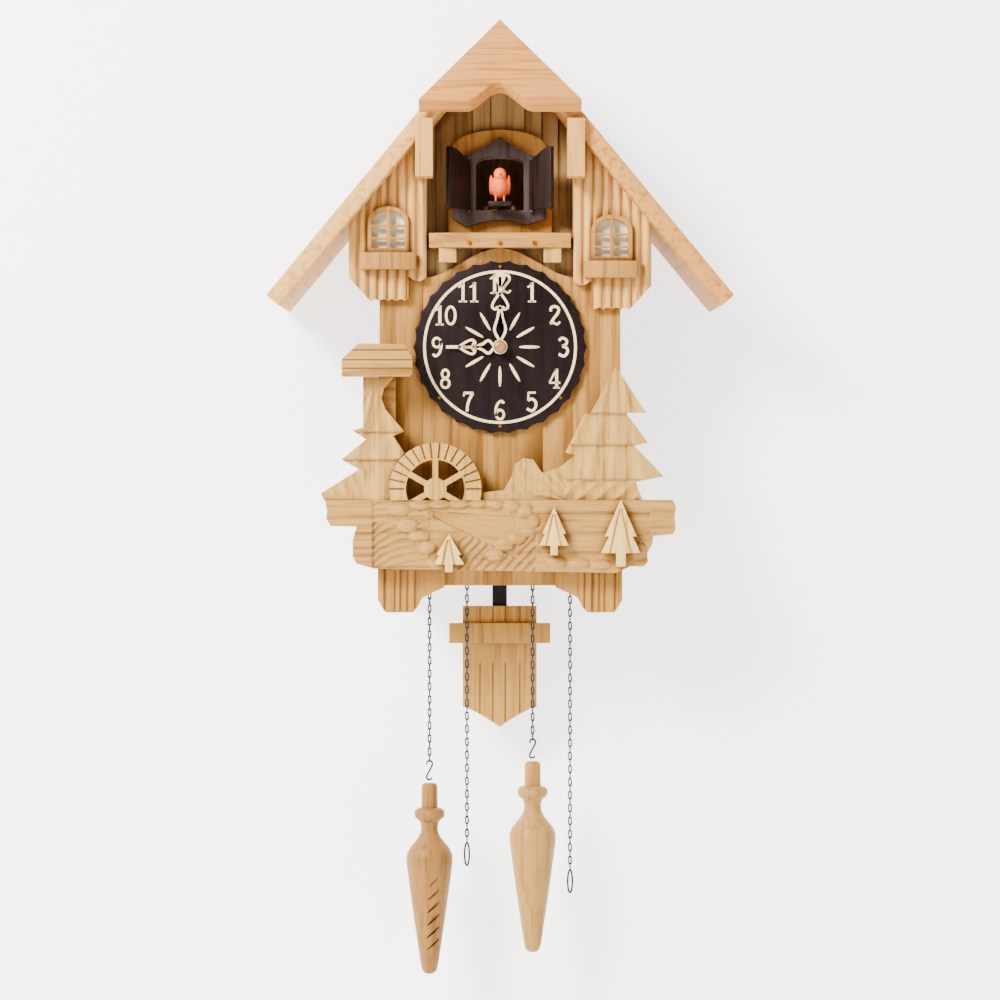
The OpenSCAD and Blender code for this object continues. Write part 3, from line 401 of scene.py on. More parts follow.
# planed or carved wood: long grain, fine fibres, slow patches, and painted shade that darkens the
# corners and hollows
def woodMaterial(name, light, dark, along="Z", gloss=0.5, bump=0.25, corners=0.0, patch=0.35):
    material, tree, shader = newMaterial(name)
    shader.inputs["Specular IOR Level"].default_value = 0.15
    stretch = grainStretch[along]
    grain = stretchedNoise(tree, 260, stretch, 5)
    fibre = stretchedNoise(tree, 1500, tuple(0.4 * s if s < 1 else s for s in stretch), 3)
    patches = stretchedNoise(tree, 22, tuple(3 * s if s < 1 else s for s in stretch), 2)
    base = ramp(tree, grain, [(0.3, dark), (0.52, light), (0.75, light)])
    fine = ramp(tree, fibre, [(0.3, (0.68, 0.68, 0.46, 1)), (0.62, (0.93, 1, 0.62, 1))])
    base = blendColours(tree, base, fine, 0.45, "MULTIPLY")
    broad = ramp(tree, patches, [(0.32, (0.78, 0.77, 0.6, 1)), (0.66, (0.98, 1, 0.8, 1))])
    base = blendColours(tree, base, broad, patch, "MULTIPLY")
    # corners: painted shade, an ambient-occlusion mask that darkens the base colour in corners,
    # creases and hollows
    if corners:
        shade = tree.nodes.new("ShaderNodeAmbientOcclusion")
        shade.samples = 6
        shade.inputs["Distance"].default_value = 7 * mm
        paintedCornerShade = ramp(tree, shade.outputs["AO"], [(0.38, (0.3, 0.17, 0.08, 1)), (0.93, (1, 1, 1, 1))])
        base = blendColours(tree, base, paintedCornerShade, corners, "MULTIPLY")
    tree.links.new(base, shader.inputs["Base Color"])
    rough = tree.nodes.new("ShaderNodeMapRange")
    rough.inputs["To Min"].default_value = gloss - 0.08
    rough.inputs["To Max"].default_value = gloss + 0.14
    tree.links.new(grain, rough.inputs["Value"])
    tree.links.new(rough.outputs[0], shader.inputs["Roughness"])
    relief = tree.nodes.new("ShaderNodeBump")
    relief.inputs["Strength"].default_value = bump
    relief.inputs["Distance"].default_value = 0.4 * mm
    tree.links.new(fibre, relief.inputs["Height"])
    tree.links.new(relief.outputs[0], shader.inputs["Normal"])
    return material


# metal or paint with faint wear: colour, roughness and a fine uneven skin
def plainMaterial(name, light, dark, metallic=0.0, gloss=0.35, scale=300, bump=0.08):
    material, tree, shader = newMaterial(name)
    wear = stretchedNoise(tree, scale, (1, 1, 1), 5)
    tree.links.new(ramp(tree, wear, [(0.35, dark), (0.65, light)]), shader.inputs["Base Color"])
    shader.inputs["Metallic"].default_value = metallic
    rough = tree.nodes.new("ShaderNodeMapRange")
    rough.inputs["To Min"].default_value = gloss
    rough.inputs["To Max"].default_value = gloss + 0.2
    tree.links.new(wear, rough.inputs["Value"])
    tree.links.new(rough.outputs[0], shader.inputs["Roughness"])
    relief = tree.nodes.new("ShaderNodeBump")
    relief.inputs["Strength"].default_value = bump
    relief.inputs["Distance"].default_value = 0.3 * mm
    tree.links.new(wear, relief.inputs["Height"])
    tree.links.new(relief.outputs[0], shader.inputs["Normal"])
    return material


# the corners amount below sets how strongly shade is painted into each wood's corners and hollows
finishes = {
    "roofLight": woodMaterial("roof wood, pale", colour(240, 208, 164), colour(222, 184, 136), "Y"),
    "roofWarm": woodMaterial("roof wood, warm", colour(230, 192, 142), colour(208, 166, 116), "Y"),
    "hip": woodMaterial("hip wood", colour(228, 186, 136), colour(204, 158, 106), "X"),
    "face": woodMaterial("face board wood", colour(214, 180, 130), colour(192, 156, 106), "Z",
        corners=0.5),
    "recess": woodMaterial("recess planks", colour(206, 182, 150), colour(178, 152, 120), "Z",
        corners=0.6),
    "dormer": woodMaterial("dormer wood", colour(238, 205, 160), colour(214, 176, 128), "Z",
        corners=0.5),
    "trim": woodMaterial("trim wood", colour(216, 182, 132), colour(190, 154, 106), "X",
        corners=0.5),
    "carved": woodMaterial("carved wood", colour(218, 188, 140), colour(194, 160, 112), "X",
        bump=0.35, corners=0.85),
    "carvedTree": woodMaterial("carved tree wood", colour(224, 196, 148), colour(200, 168, 120),
        "Z", bump=0.35, corners=0.85),
    "surround": woodMaterial("stained surround", colour(134, 119, 121), colour(112, 97, 99), "Z",
        gloss=0.4, corners=0.4),
    "dial": woodMaterial("stained dial", colour(84, 58, 60), colour(62, 40, 42), "Z", gloss=0.36,
        bump=0.15, corners=0.3),
    "doorDark": woodMaterial("dark door", colour(100, 84, 84), colour(76, 62, 62), "Z", gloss=0.4),
    "rodBlack": woodMaterial("black rod", colour(80, 74, 72), colour(58, 55, 55), "Z", gloss=0.4),
    "turnedLeft": woodMaterial("turned weight wood, dull", colour(196, 164, 120),
        colour(176, 142, 98), "Z", gloss=0.42, bump=0.12, corners=0.3),
    "turnedRight": woodMaterial("turned weight wood, bright", colour(212, 182, 138),
        colour(194, 162, 116), "Z", gloss=0.4, bump=0.12, corners=0.3),
    "bob": woodMaterial("bob wood", colour(222, 190, 140), colour(200, 166, 116), "Z",
        corners=0.5),
    "caseWood": woodMaterial("case wood", colour(208, 176, 130), colour(186, 152, 106), "Z"),
    "coverWood": woodMaterial("cover wood", colour(186, 156, 114), colour(164, 132, 92), "Z",
        gloss=0.6),
    "pipeWood": woodMaterial("bare wood", colour(222, 198, 158), colour(196, 168, 126), "Z",
        gloss=0.6),
    "ivory": plainMaterial("ivory", colour(250, 236, 208), colour(242, 222, 188), 0.0, 0.34, 400),
    "brass": plainMaterial("brass", colour(222, 178, 94), colour(188, 142, 62), 1.0, 0.26, 160),
    "steel": plainMaterial("steel", colour(170, 170, 174), colour(130, 130, 136), 1.0, 0.3, 220),
    "gongSteel": plainMaterial("blued wire", colour(86, 92, 112), colour(52, 56, 74), 1.0, 0.3),
    "blackWire": plainMaterial("blackened steel", colour(40, 39, 40), colour(26, 25, 26), 0.0,
        0.42, 500),
    "orange": plainMaterial("orange paint", colour(255, 168, 104), colour(244, 144, 82), 0.0, 0.4,
        500, 0.15),
    "trimPale": woodMaterial("bracket wood", colour(232, 198, 152), colour(208, 170, 122), "Z",
        corners=0.4),
    # the window frames get the strongest painted shade, along their inner edges
    "window": woodMaterial("window wood", colour(212, 178, 128), colour(186, 150, 100), "Z",
        corners=0.95),
    "firs": woodMaterial("small tree wood", colour(246, 222, 180), colour(226, 196, 148), "Z",
        bump=0.3, corners=0.6),
    "nut": plainMaterial("hand nut", colour(206, 172, 122), colour(178, 142, 96), 0.2, 0.3, 200),
    "paneCream": plainMaterial("window backing", colour(252, 244, 224), colour(246, 232, 206),
        0.0, 0.6, 200),
}
print("finishes ready:", len(finishes))


# stage: camera, wall, floor and soft light
stage = {
    "cameraX": -7.2, "cameraZ": -193, "distance": 2400, "facePlane": -115, "lens": 120,
    "shiftX": 0.01, "shiftY": -0.06, "floorZ": -900, "wallY": 1.5,
    "world": 0.66, "key": 270, "fill": 12, "wallGlow": 1.9,
}


def addStage():
    clearSelection()
    bpy.ops.object.camera_add(location=(stage["cameraX"] * mm,
        (stage["facePlane"] - stage["distance"]) * mm, stage["cameraZ"] * mm),
        rotation=(math.pi / 2, 0, 0))
    camera = bpy.context.object
    camera.data.lens = stage["lens"]
    camera.data.shift_x = stage["shiftX"]
    camera.data.shift_y = stage["shiftY"]
    bpy.context.scene.camera = camera
    pale, tree, shader = newMaterial("pale backdrop")
    shader.inputs["Base Color"].default_value = (0.9, 0.9, 0.89, 1)
    shader.inputs["Roughness"].default_value = 0.9
    clearSelection()
    bpy.ops.mesh.primitive_plane_add(size=8, location=(0, 0, stage["floorZ"] * mm))
    floor = bpy.context.object
    floor.name = "floor"
    # the wall is seen from the front only: from behind it lets the view through
    clearSelection()
    bpy.ops.mesh.primitive_plane_add(size=8, location=(0, stage["wallY"] * mm, 2.5),
        rotation=(math.pi / 2, 0, 0))
    wall = bpy.context.object
    wall.name = "wall"
    oneSided, wallTree, wallShader = newMaterial("pale wall")
    wallShader.inputs["Base Color"].default_value = (0.93, 0.93, 0.92, 1)
    wallShader.inputs["Roughness"].default_value = 0.9
    wallShader.inputs["Emission Color"].default_value = (1, 1, 0.99, 1)
    wallShader.inputs["Emission Strength"].default_value = stage["wallGlow"]
    clear = wallTree.nodes.new("ShaderNodeBsdfTransparent")
    either = wallTree.nodes.new("ShaderNodeMixShader")
    side = wallTree.nodes.new("ShaderNodeNewGeometry")
    wallTree.links.new(side.outputs["Backfacing"], either.inputs[0])
    wallTree.links.new(wallShader.outputs[0], either.inputs[1])
    wallTree.links.new(clear.outputs[0], either.inputs[2])
    wallTree.links.new(either.outputs[0], wallTree.nodes["Material Output"].inputs[0])
    wall.data.materials.append(oneSided)
    floor.data.materials.append(pale)
    world = bpy.data.worlds.new("studio")
    bpy.context.scene.world = world
    world.use_nodes = True
    world.node_tree.nodes["Background"].inputs[0].default_value = (1, 0.99, 0.97, 1)
    world.node_tree.nodes["Background"].inputs[1].default_value = stage["world"]
    for name, place, size, power in (("key", (-1.5, -2.0, 1.3), 0.9, stage["key"]),
            ("fill", (1.7, -2.4, 0.1), 2.0, stage["fill"])):
        clearSelection()
        bpy.ops.object.light_add(type="AREA", location=place)
        light = bpy.context.object
        light.name = name
        light.data.size = size
        light.data.energy = power
        aim = Vector((0, -0.06, -0.2)) - Vector(place)
        light.rotation_mode = "QUATERNION"
        light.rotation_quaternion = aim.to_track_quat("-Z", "Y")


addStage()
print("stage ready")

# woodwork: roof, hip, brackets, balcony and the plain boards
boards = {
    "roof_left": (1.2, "roof_light", "roofLight"), "roof_right": (1.2, "roof_warm", "roofWarm"),
    "hip_board": (2.6, "hip_wood", "hip"), "brackets": (1.1, "trim_wood", "trimPale"),
    "balcony_shelf": (1.6, "trim_wood", "trim"), "spacer_blocks": (0.5, "trim_wood", "trim"),
    "door_backboard": (0.7, "face_wood", "face"),
    "door_surround": (0.7, "surround_wood", "surround"),
}
for node, (width, slotName, paint) in boards.items():
    finishPiece(softened(node, width, 3), node, finishes[paint])
print("plain boards ready")

# planked walls: one cut along every seam
planks = {
    "recessSeams": (-46.9, -32.9, -20.4, -6.8, 5.2, 18.4, 31, 43.1), "recessFront": -78,
    "apronFront": -100, "faceSeams": (-75.1, -55.6, -33.9, -11.9, 8.7, 31.1, 52.7, 72.2),
    "faceFront": -108, "cornerFront": -116, "capFront": -144, "capSeams": (-129, -136, -142),
    "width": 0.9, "depth": 1.3,
}
wall = cadCopy("upper_wall")
grooves(wall, [(x, -74, x, 112) for x in planks["recessSeams"]], planks["recessFront"],
    planks["depth"], planks["width"])
grooves(wall, [(x, -80, x, -50) for x in planks["recessSeams"]], planks["apronFront"],
    planks["depth"], planks["width"])
finishPiece(wall, "upper_wall", finishes["recess"])
face = cadCopy("face_board")
grooves(face, [(x, -300, x, -50) for x in planks["faceSeams"]], planks["faceFront"], 0.6, 0.7)
finishPiece(face, "face_board", finishes["face"])
corners = cadCopy("corner_planks")
grooves(corners, [(side * x, -320, side * x, z) for side in (-1, 1)
    for x, z in ((83, -262), (75.5, -287), (71.5, -285), (66.5, -283), (61, -285))],
    planks["cornerFront"], 1.6, 1.3)
bevelEdges(corners, 0.5)
finishPiece(corners, "corner_planks", finishes["face"])
cap = cadCopy("post_cap")
grooves(cap, [(-118, z, -58, z) for z in planks["capSeams"]], planks["capFront"], 1.0, 0.8)
bevelEdges(cap, 0.7)
finishPiece(cap, "post_cap", finishes["carved"])
print("planked boards ready")

# dormers: rounded flutes side by side, with panes behind the windows
dormer = {"inner": 53, "outer": 109, "pitch": 7, "depth": 2.6, "front": -116, "steps": 10,
    "windowX": 80.4, "windowFoot": -58, "paneFront": -112.7, "paneBack": -112.1, "drop": 6}
for node, side in (("dormer_left", -1), ("dormer_right", 1)):
    wing = cadCopy(node)
    count = round((dormer["outer"] - dormer["inner"]) / dormer["pitch"])
    valley = []
    for step in range(count * dormer["steps"] + 1):
        across = step / dormer["steps"]
        u = 2 * (across - math.floor(across)) - 1
        valley.append((side * (dormer["outer"] - across * dormer["pitch"]),
            dormer["front"] + 0.05 + dormer["depth"] * u * u))
    outline = [(side * 48, -118), (side * 114, -118), (side * 114, valley[0][1])] + valley + [
        (side * 48, valley[-1][1])]
    flutes = prismPiece("flutes", outline, -110, 70)
    boolean(wing, flutes, "DIFFERENCE")
    smooth(wing, 38)
    finishPiece(wing, node, finishes["dormer"], angle=38)
for side, drop in ((-1, 0), (1, dormer["drop"])):
    arch = windowArch(11.6, 27, dormer["windowFoot"] + 3.2 - drop)
    pane = outlinePiece("pane", [(x + side * dormer["windowX"], z) for x, z in arch],
        dormer["paneFront"], dormer["paneBack"])
    finishPiece(pane, "windows", finishes["paneCream"], standsFor=False)
frames = cadCopy("windows")
bevelEdges(frames, 0.7, 3)
finishPiece(frames, "windows", finishes["window"])
print("dormers and windows ready")

# doors: dark leaves with softened edges
for node in ("door_left", "door_right"):
    finishPiece(softened(node, 0.5, 2), node, finishes["doorDark"])
finishPiece(softened("bird_perch", 0.5), "bird_perch", finishes["doorDark"])

# dial: scalloped plate, ring, drops and raised figures
dial = {"z": -126, "front": -113, "raised": -113.6, "ring": 54.4, "figures": 45.5,
    "dropMiddle": 21.2, "dropLength": 7.5, "dropWidth": 1.15}
finishPiece(softened("dial_plate", 0.7, 3), "dial_plate", finishes["dial"])
figureStrokes = {
    "0": [("ring", 0, 0, 3.3, 6.3)],
    "1": [("line", [(0.4, 7.2), (0.4, -7)], 2.1), ("line", [(-2.6, -6.6), (3.2, -6.6)], 1.1),
        ("line", [(-2.9, 3.6), (-1.2, 4.6), (0.3, 6.8)], 1.2)],
    "2": [("curve", [(-3, 3), (-2.4, 5.7), (0.2, 6.5), (2.7, 5), (2.4, 2), (-0.6, -2), (-3, -5.9)],
        1.9), ("curve", [(-3.2, -6.1), (-0.8, -5.2), (1.6, -6.4), (3.8, -4.6)], 1.5)],
    "3": [("curve", [(-3, 4.6), (-0.8, 6.5), (2.3, 5), (2.2, 2.2), (-0.6, 0.6)], 1.8),
        ("curve", [(-0.6, 0.6), (2.6, -0.8), (3.1, -3.8), (0.6, -6.6), (-3.2, -5)], 1.9)],
    "4": [("line", [(1.4, 7), (-3.8, -2.8)], 1.2), ("line", [(-3.9, -3), (4, -3)], 1.3),
        ("line", [(1.4, 7), (1.4, -7)], 2), ("line", [(-1, -6.7), (3.8, -6.7)], 1)],
    "5": [("line", [(-2.6, 6.5), (3, 6.5)], 1.4), ("line", [(-2.2, 6.6), (-2.6, 0.9)], 1.3),
        ("curve", [(-2.6, 0.9), (0.4, 2), (3, -0.4), (2.8, -4), (0.2, -6.6), (-3.3, -5)], 1.9)],
    "6": [("curve", [(2.9, 5), (0.8, 6.5), (-1.9, 4.2), (-3.1, -0.6), (-2.5, -4.6)], 1.8),
        ("ring", 0, -3.2, 2.8, 3.3)],
    "7": [("line", [(-3.4, 6.3), (3.5, 6.3)], 1.7), ("line", [(-3.2, 6.6), (-3.4, 3.8)], 1),
        ("curve", [(3.3, 6.2), (1, 2.2), (-0.6, -2.4), (-0.9, -7)], 1.9)],
    "8": [("ring", 0, 3.4, 2.4, 2.9), ("ring", 0, -3.4, 2.9, 3.2)],
    "9": [("curve", [(-2.9, -5), (-0.8, -6.5), (1.9, -4.2), (3.1, 0.6), (2.5, 4.6)], 1.8),
        ("ring", 0, 3.2, 2.8, 3.3)],
}


def drawStroke(stroke, place, front, back):
    x, z = place
    if stroke[0] == "ring":
        centreX, centreZ, wide, high = stroke[1:]
        points = [(x + centreX + wide * math.cos(a * math.pi / 12),
            z + centreZ + high * math.sin(a * math.pi / 12)) for a in range(25)]
        return strokePiece(points, 1.7, front, back)
    points = [(x + across, z + up) for across, up in stroke[1]]
    return strokePiece(flowing(points) if stroke[0] == "curve" else points, stroke[2], front, back)


marks = [strokePiece([(dial["ring"] * math.cos(a * math.pi / 60),
    dial["z"] + dial["ring"] * math.sin(a * math.pi / 60)) for a in range(121)], 1.9,
    dial["raised"], dial["front"])]
for hour in range(1, 13):
    turn = math.radians(90 - hour * 30)
    x = dial["figures"] * math.cos(turn)
    z = dial["z"] + dial["figures"] * math.sin(turn)
    shifts = (-4.3, 3.9) if hour > 9 else (0,)
    for shift, figure in zip(shifts, str(hour)):
        for stroke in figureStrokes[figure]:
            marks.append(drawStroke(stroke, (x + shift, z), dial["raised"], dial["front"]))
    clearSelection()
    bpy.ops.mesh.primitive_uv_sphere_add(segments=16, ring_count=8, radius=1, location=(
        dial["dropMiddle"] * math.cos(turn) * mm, (dial["front"] - 0.02) * mm,
        (dial["z"] + dial["dropMiddle"] * math.sin(turn)) * mm), rotation=(0, -turn, 0))
    drop = bpy.context.object
    drop.scale = (dial["dropLength"] * mm, 0.55 * mm, dial["dropWidth"] * mm)
    settle(drop)
    marks.append(drop)
finishPiece(joinPieces(marks, "dial_figures"), "dial_markings", finishes["ivory"])
print("dial ready")

# pierced hands: loop, scrolls and tip, drawn pointing up and then turned
hands = {
    "minute": {"node": "minute_hand", "front": -119.5, "back": -118.5, "turn": 0, "loop": (4, 29),
        "loopWidth": 4.0, "scroll": (27, 37), "scrollWidth": 5.6, "tip": 54, "leaf": 3.6},
    "hour": {"node": "hour_hand", "front": -116.5, "back": -115.5, "turn": 90, "loop": (4, 17),
        "loopWidth": 4.6, "scroll": (18, 28), "scrollWidth": 5.0, "tip": 40, "leaf": 1.2},
}


def handPiece(shape):
    low, high = shape["loop"]
    wide = shape["loopWidth"]
    foot, head = shape["scroll"]
    reach = shape["scrollWidth"]
    middle = low + (high - low) * 0.32
    loop = flowing([(0, low), (wide, middle), (wide * 0.45, (middle + high) / 2), (0, high),
        (-wide * 0.45, (middle + high) / 2), (-wide, middle), (0, low)])
    strokes = [(loop, 1.9)]
    for side in (-1, 1):
        strokes.append((flowing([(0, foot + 1), (side * reach * 0.45, foot + 1.4),
            (side * reach * 0.55, foot - 0.2), (side * reach, foot + 1.6),
            (side * reach * 0.8, foot + 5.6), (0, head + 2)]), 1.7))
    strokes.append(([(0, high - 2), (0, foot + 2)], 2))
    strokes.append(([(0, head), (0, shape["tip"] - shape["leaf"])], 2.2))
    parts = [strokePiece(points, width, shape["front"], shape["back"]) for points, width in strokes]
    parts.append(barPiece("boss", 0, 0, shape["front"], shape["back"], 5.2))
    if shape["leaf"] > 2:
        leaf = flowing([(0, head + 5), (shape["leaf"], shape["tip"] - 5),
            (shape["leaf"] * 0.75, shape["tip"] - 1.4), (0, shape["tip"]),
            (-shape["leaf"] * 0.75, shape["tip"] - 1.4), (-shape["leaf"], shape["tip"] - 5)])
        parts.append(outlinePiece("leaf", leaf, shape["front"], shape["back"]))
    hand = joinPieces(parts, shape["node"])
    angle = math.radians(shape["turn"])
    for vertex in hand.data.vertices:
        x, z = vertex.co.x, vertex.co.z
        vertex.co.x = x * math.cos(angle) - z * math.sin(angle)
        vertex.co.z = x * math.sin(angle) + z * math.cos(angle) + dial["z"] * mm
    return hand


for shape in hands.values():
    finishPiece(handPiece(shape), shape["node"], finishes["ivory"])
clearSelection()
bpy.ops.mesh.primitive_uv_sphere_add(segments=32, ring_count=16, radius=1,
    location=(0, -122.75 * mm, dial["z"] * mm))
ball = bpy.context.object
ball.name = "hand_nut"
ball.scale = (4.5 * mm, 2.25 * mm, 4.5 * mm)
settle(ball)
finishPiece(ball, "minute_hand", finishes["nut"], standsFor=False)
print("hands ready")

# carving: logs, slopes, stones, stream, hatching and trees
carving = {"front": -136, "treeFront": -134, "firFront": -143, "wheelFront": -135, "back": -120}
stones = [(-72, -243, 9, 5), (-57, -239, 8, 4.5), (-43, -238.5, 8, 4), (-29, -238, 8, 4.4),
    (-16, -238.5, 7, 4), (-4, -239, 7, 4.4), (8, -240.5, 6.5, 4.6), (18, -244, 6, 5),
    (24, -251, 5.5, 5), (20, -258, 6, 4.2), (12, -263, 7, 4.4), (3, -268, 7, 4.6),
    (-4, -275, 7, 5), (-66, -254, 8, 5.5), (-58, -262, 8, 4.4), (-52, -270, 7, 5),
    (40, -280, 8, 4), (56, -281, 9, 4), (72, -282, 8, 4), (-46, -281, 7, 4), (99, -272, 6, 6)]


def baseDepth(x, z):
    best = 9
    for stoneX, stoneZ, wide, high in stones:
        reach = ((x - stoneX) / wide) ** 2 + ((z - stoneZ) / high) ** 2
        if reach < 1:
            best = min(best, 3.4 - 3.2 * math.sqrt(1 - reach) + 0.3 * noise.noise(
                Vector((x / 3, z / 3, 5))))
    if best < 9:
        return best
    if x < -91:
        return 1.0 + bars(z, (-236, -240.4, -244.8, -249.4, -255, -259.6, -264.6, -270, -276,
            -284), 1.5)
    if x > 107:
        return 0.8 + bars(z, (-236, -248.6, -262), 1.3)
    if -48 < x < 12 and -248 - (x + 48) * 0.5 < z < -244 - (x + 48) * 0.06:
        angle = math.atan2(z + 240, x + 62)
        return 4.2 + 0.35 * math.sin(angle * 60)
    if -30 < x < 26 and z < -263 + (x + 30) * 0.05:
        return 2.2 + 2.0 * abs(math.sin(math.pi * (x * 0.72 - z * 0.69) / 5.2))
    if x > 24 and z > -274:
        return 1.6 + bars(z, (-232, -246.5, -260, -274), 2.2)
    if x < -50 and z < -252:
        sweep = z + 283 - 19 * (1 - math.exp(-(x + 95) / 17))
        return 1.8 + 1.7 * abs(math.sin(math.pi * sweep / 5.6))
    if x < -50:
        sweep = z - 0.16 * (x + 90)
        return 1.4 + 1.2 * abs(math.sin(math.pi * sweep / 4.4))
    return 2.4 + chiselled(x, z)


base = reliefPiece("carved_base", (-130, -291), (130, -233), carving["front"], carving["back"],
    baseDepth)
finishPiece(base, "carved_base", finishes["carved"], angle=40)


def leftDepth(x, z):
    if x > -98 and z > -158:
        return 3.0
    if z < -214 and x < -97:
        return 1.2 + 1.3 * abs(math.sin((x * 0.9 + z * 0.35) / 2.6))
    return firDepth(x, z, (-87, -156), (-154, -187, -207, -240), 13)


def rightDepth(x, z):
    if x < 46:
        angle = math.atan2(z + 238, x - 52)
        return 2.0 + 1.2 * abs(math.sin(angle * 12)) + 0.7 * chiselled(x, z, 7)
    if z < -221 and x < 100:
        return 1.8 + 1.3 * abs(math.sin((x * 0.8 - z * 0.9) / 3.4)) + 0.5 * chiselled(x, z, 8)
    return firDepth(x, z, (83, -140.5), (-140, -173.6, -196, -222, -240), 15)


left = reliefPiece("tree_left", (-131, -239), (-58, -145), carving["treeFront"],
    carving["back"], leftDepth)
finishPiece(left, "tree_left", finishes["carvedTree"], angle=40)
right = reliefPiece("trees_right", (-16, -239), (121, -138), carving["treeFront"],
    carving["back"], rightDepth)
finishPiece(right, "trees_right", finishes["carvedTree"], angle=40)

wheel = cadCopy("mill_wheel")
grooves(wheel, [(-46.3 + 22 * math.cos(a), -228 + 22 * math.sin(a), -46.3 + 34 * math.cos(a),
    -228 + 34 * math.sin(a)) for a in [math.radians(v) for v in range(0, 181, 12)]],
    carving["wheelFront"], 1.6, 1.0)
bevelEdges(wheel, 0.6)
finishPiece(wheel, "mill_wheel", finishes["carvedTree"])

firs = cadCopy("small_trees")
for x, foot, high in ((-36.5, -287, 27), (38.4, -275, 34), (86, -283, 47.5)):
    grooves(firs, [(x + side * high * 0.16, foot + high * 0.2, x + side * 0.6, foot + high * 0.86)
        for side in (-1, 1)], carving["firFront"], 1.5, 1.3)
bevelEdges(firs, 0.9)
finishPiece(firs, "small_trees", finishes["firs"])
print("carving ready")

# bird: body, head, beak and hanging wings run together
bird = {"y": -98, "skin": 0.35}
parts = []
for place, scale, tilt in (((0, bird["y"], -9.3), (6.2, 6.4, 10.6), 38),
        ((0, bird["y"] - 6.2, -0.6), (4.5, 4.5, 4.5), 0),
        ((-6.3, bird["y"] + 0.6, -8.2), (1.5, 3.4, 8.4), 36),
        ((6.3, bird["y"] + 0.6, -8.2), (1.5, 3.4, 8.4), 36)):
    clearSelection()
    bpy.ops.mesh.primitive_uv_sphere_add(segments=28, ring_count=18, radius=1,
        location=[v * mm for v in place], rotation=(math.radians(tilt), 0, 0))
    part = bpy.context.object
    part.scale = [v * mm for v in scale]
    settle(part)
    parts.append(part)
clearSelection()
bpy.ops.mesh.primitive_cone_add(vertices=20, radius1=1.6 * mm, radius2=0.35 * mm, depth=5 * mm,
    location=(0, (bird["y"] - 11.6) * mm, -1.4 * mm), rotation=(math.radians(100), 0, 0))
parts.append(bpy.context.object)
settle(parts[-1])
for x in (-3, 3):
    clearSelection()
    bpy.ops.mesh.primitive_cylinder_add(vertices=12, radius=0.7 * mm, depth=7 * mm,
        location=(x * mm, (bird["y"] - 1) * mm, -16.6 * mm))
    parts.append(bpy.context.object)
    settle(parts[-1])
whole = joinPieces(parts, "bird_body")
skin = whole.modifiers.new("skin", "REMESH")
skin.mode = "VOXEL"
skin.voxel_size = bird["skin"] * mm
applyModifiers(whole)
finishPiece(whole, "bird", finishes["orange"], angle=60)
print("bird ready")

# pendulum: black rod and planked bob
pendulum = {"front": -35.3, "seams": (-14.6, -5, 4.3, 15.1), "top": -316.5, "barTop": -344,
    "barFoot": -359, "foot": -410}
finishPiece(softened("pendulum_rod", 0.4), "pendulum_rod", finishes["rodBlack"])
bob = cadCopy("pendulum_bob")
for low, high in ((pendulum["barTop"], pendulum["top"] + 2), (pendulum["foot"],
        pendulum["barFoot"])):
    grooves(bob, [(x, low, x, high) for x in pendulum["seams"]], pendulum["front"], 1.2, 1.0)
bevelEdges(bob, 0.5)
finishPiece(bob, "pendulum_bob", finishes["bob"])

# chains: round links, hooks and rings of bent wire, stouter than the CAD wire
chain = {"y": -57, "pitch": 4.8, "wire": 0.6, "half": 1.0, "reach": 2.75, "top": -133.0035,
    "hookWire": 0.72,
    "ringHalf": 1.75, "ringReach": 8.5}


def linkRow(x, foot, start, count, turned):
    clearSelection()
    bpy.ops.mesh.primitive_torus_add(major_segments=12, minor_segments=4,
        major_radius=chain["half"] * mm, minor_radius=chain["wire"] * mm,
        rotation=(math.pi / 2, 0, math.pi / 2 if turned else 0))
    link = bpy.context.object
    settle(link)
    lift = (chain["reach"] - chain["half"]) * mm
    height = (foot + (start + 0.5) * chain["pitch"]) * mm
    for vertex in link.data.vertices:
        up = lift if vertex.co.z > 0 else -lift
        vertex.co = (vertex.co.x + x * mm, vertex.co.y + chain["y"] * mm, vertex.co.z + up + height)
    row = link.modifiers.new("row", "ARRAY")
    row.count = count
    row.use_relative_offset = False
    row.use_constant_offset = True
    row.constant_offset_displace = (0, 0, 2 * chain["pitch"] * mm)
    applyModifiers(link)
    return link


def chainPiece(node, x, foot, ends):
    count = math.floor((chain["top"] - foot) / chain["pitch"])
    rows = [linkRow(x, foot, 0, (count + 1) // 2, True), linkRow(x, foot, 1, count // 2, False)]
    finishPiece(joinPieces(rows + ends, node + "_links"), node,
        finishes["blackWire"], angle=50)


def hookPiece(x, z):
    return wirePiece([(x + dx, chain["y"], z + dz) for dx, dz in ((-1.9, -2.6), (-2.2, -0.6),
        (0, 0.6), (2.3, -0.8), (1.8, -3.6), (-0.4, -7.6), (-2.2, -11), (-2.1, -13), (0, -14),
        (2.0, -12.4))], chain["hookWire"])


def ringPiece(x, z):
    half, reach = chain["ringHalf"], chain["ringReach"]
    return wirePiece([(x + half * math.cos(a * math.pi / 10), chain["y"],
        z - reach + reach * math.sin(a * math.pi / 10)) for a in range(21)], chain["hookWire"])


chainPiece("time_chain", 24.2, -414, [hookPiece(24.2, -413.8)])
chainPiece("strike_chain", -51.8, -430, [hookPiece(-51.8, -429.8)])
chainPiece("time_pull_chain", 51.8, -510, [ringPiece(51.8, -509.8)])
chainPiece("strike_pull_chain", -24.2, -490, [ringPiece(-24.2, -489.8)])
print("chains ready")

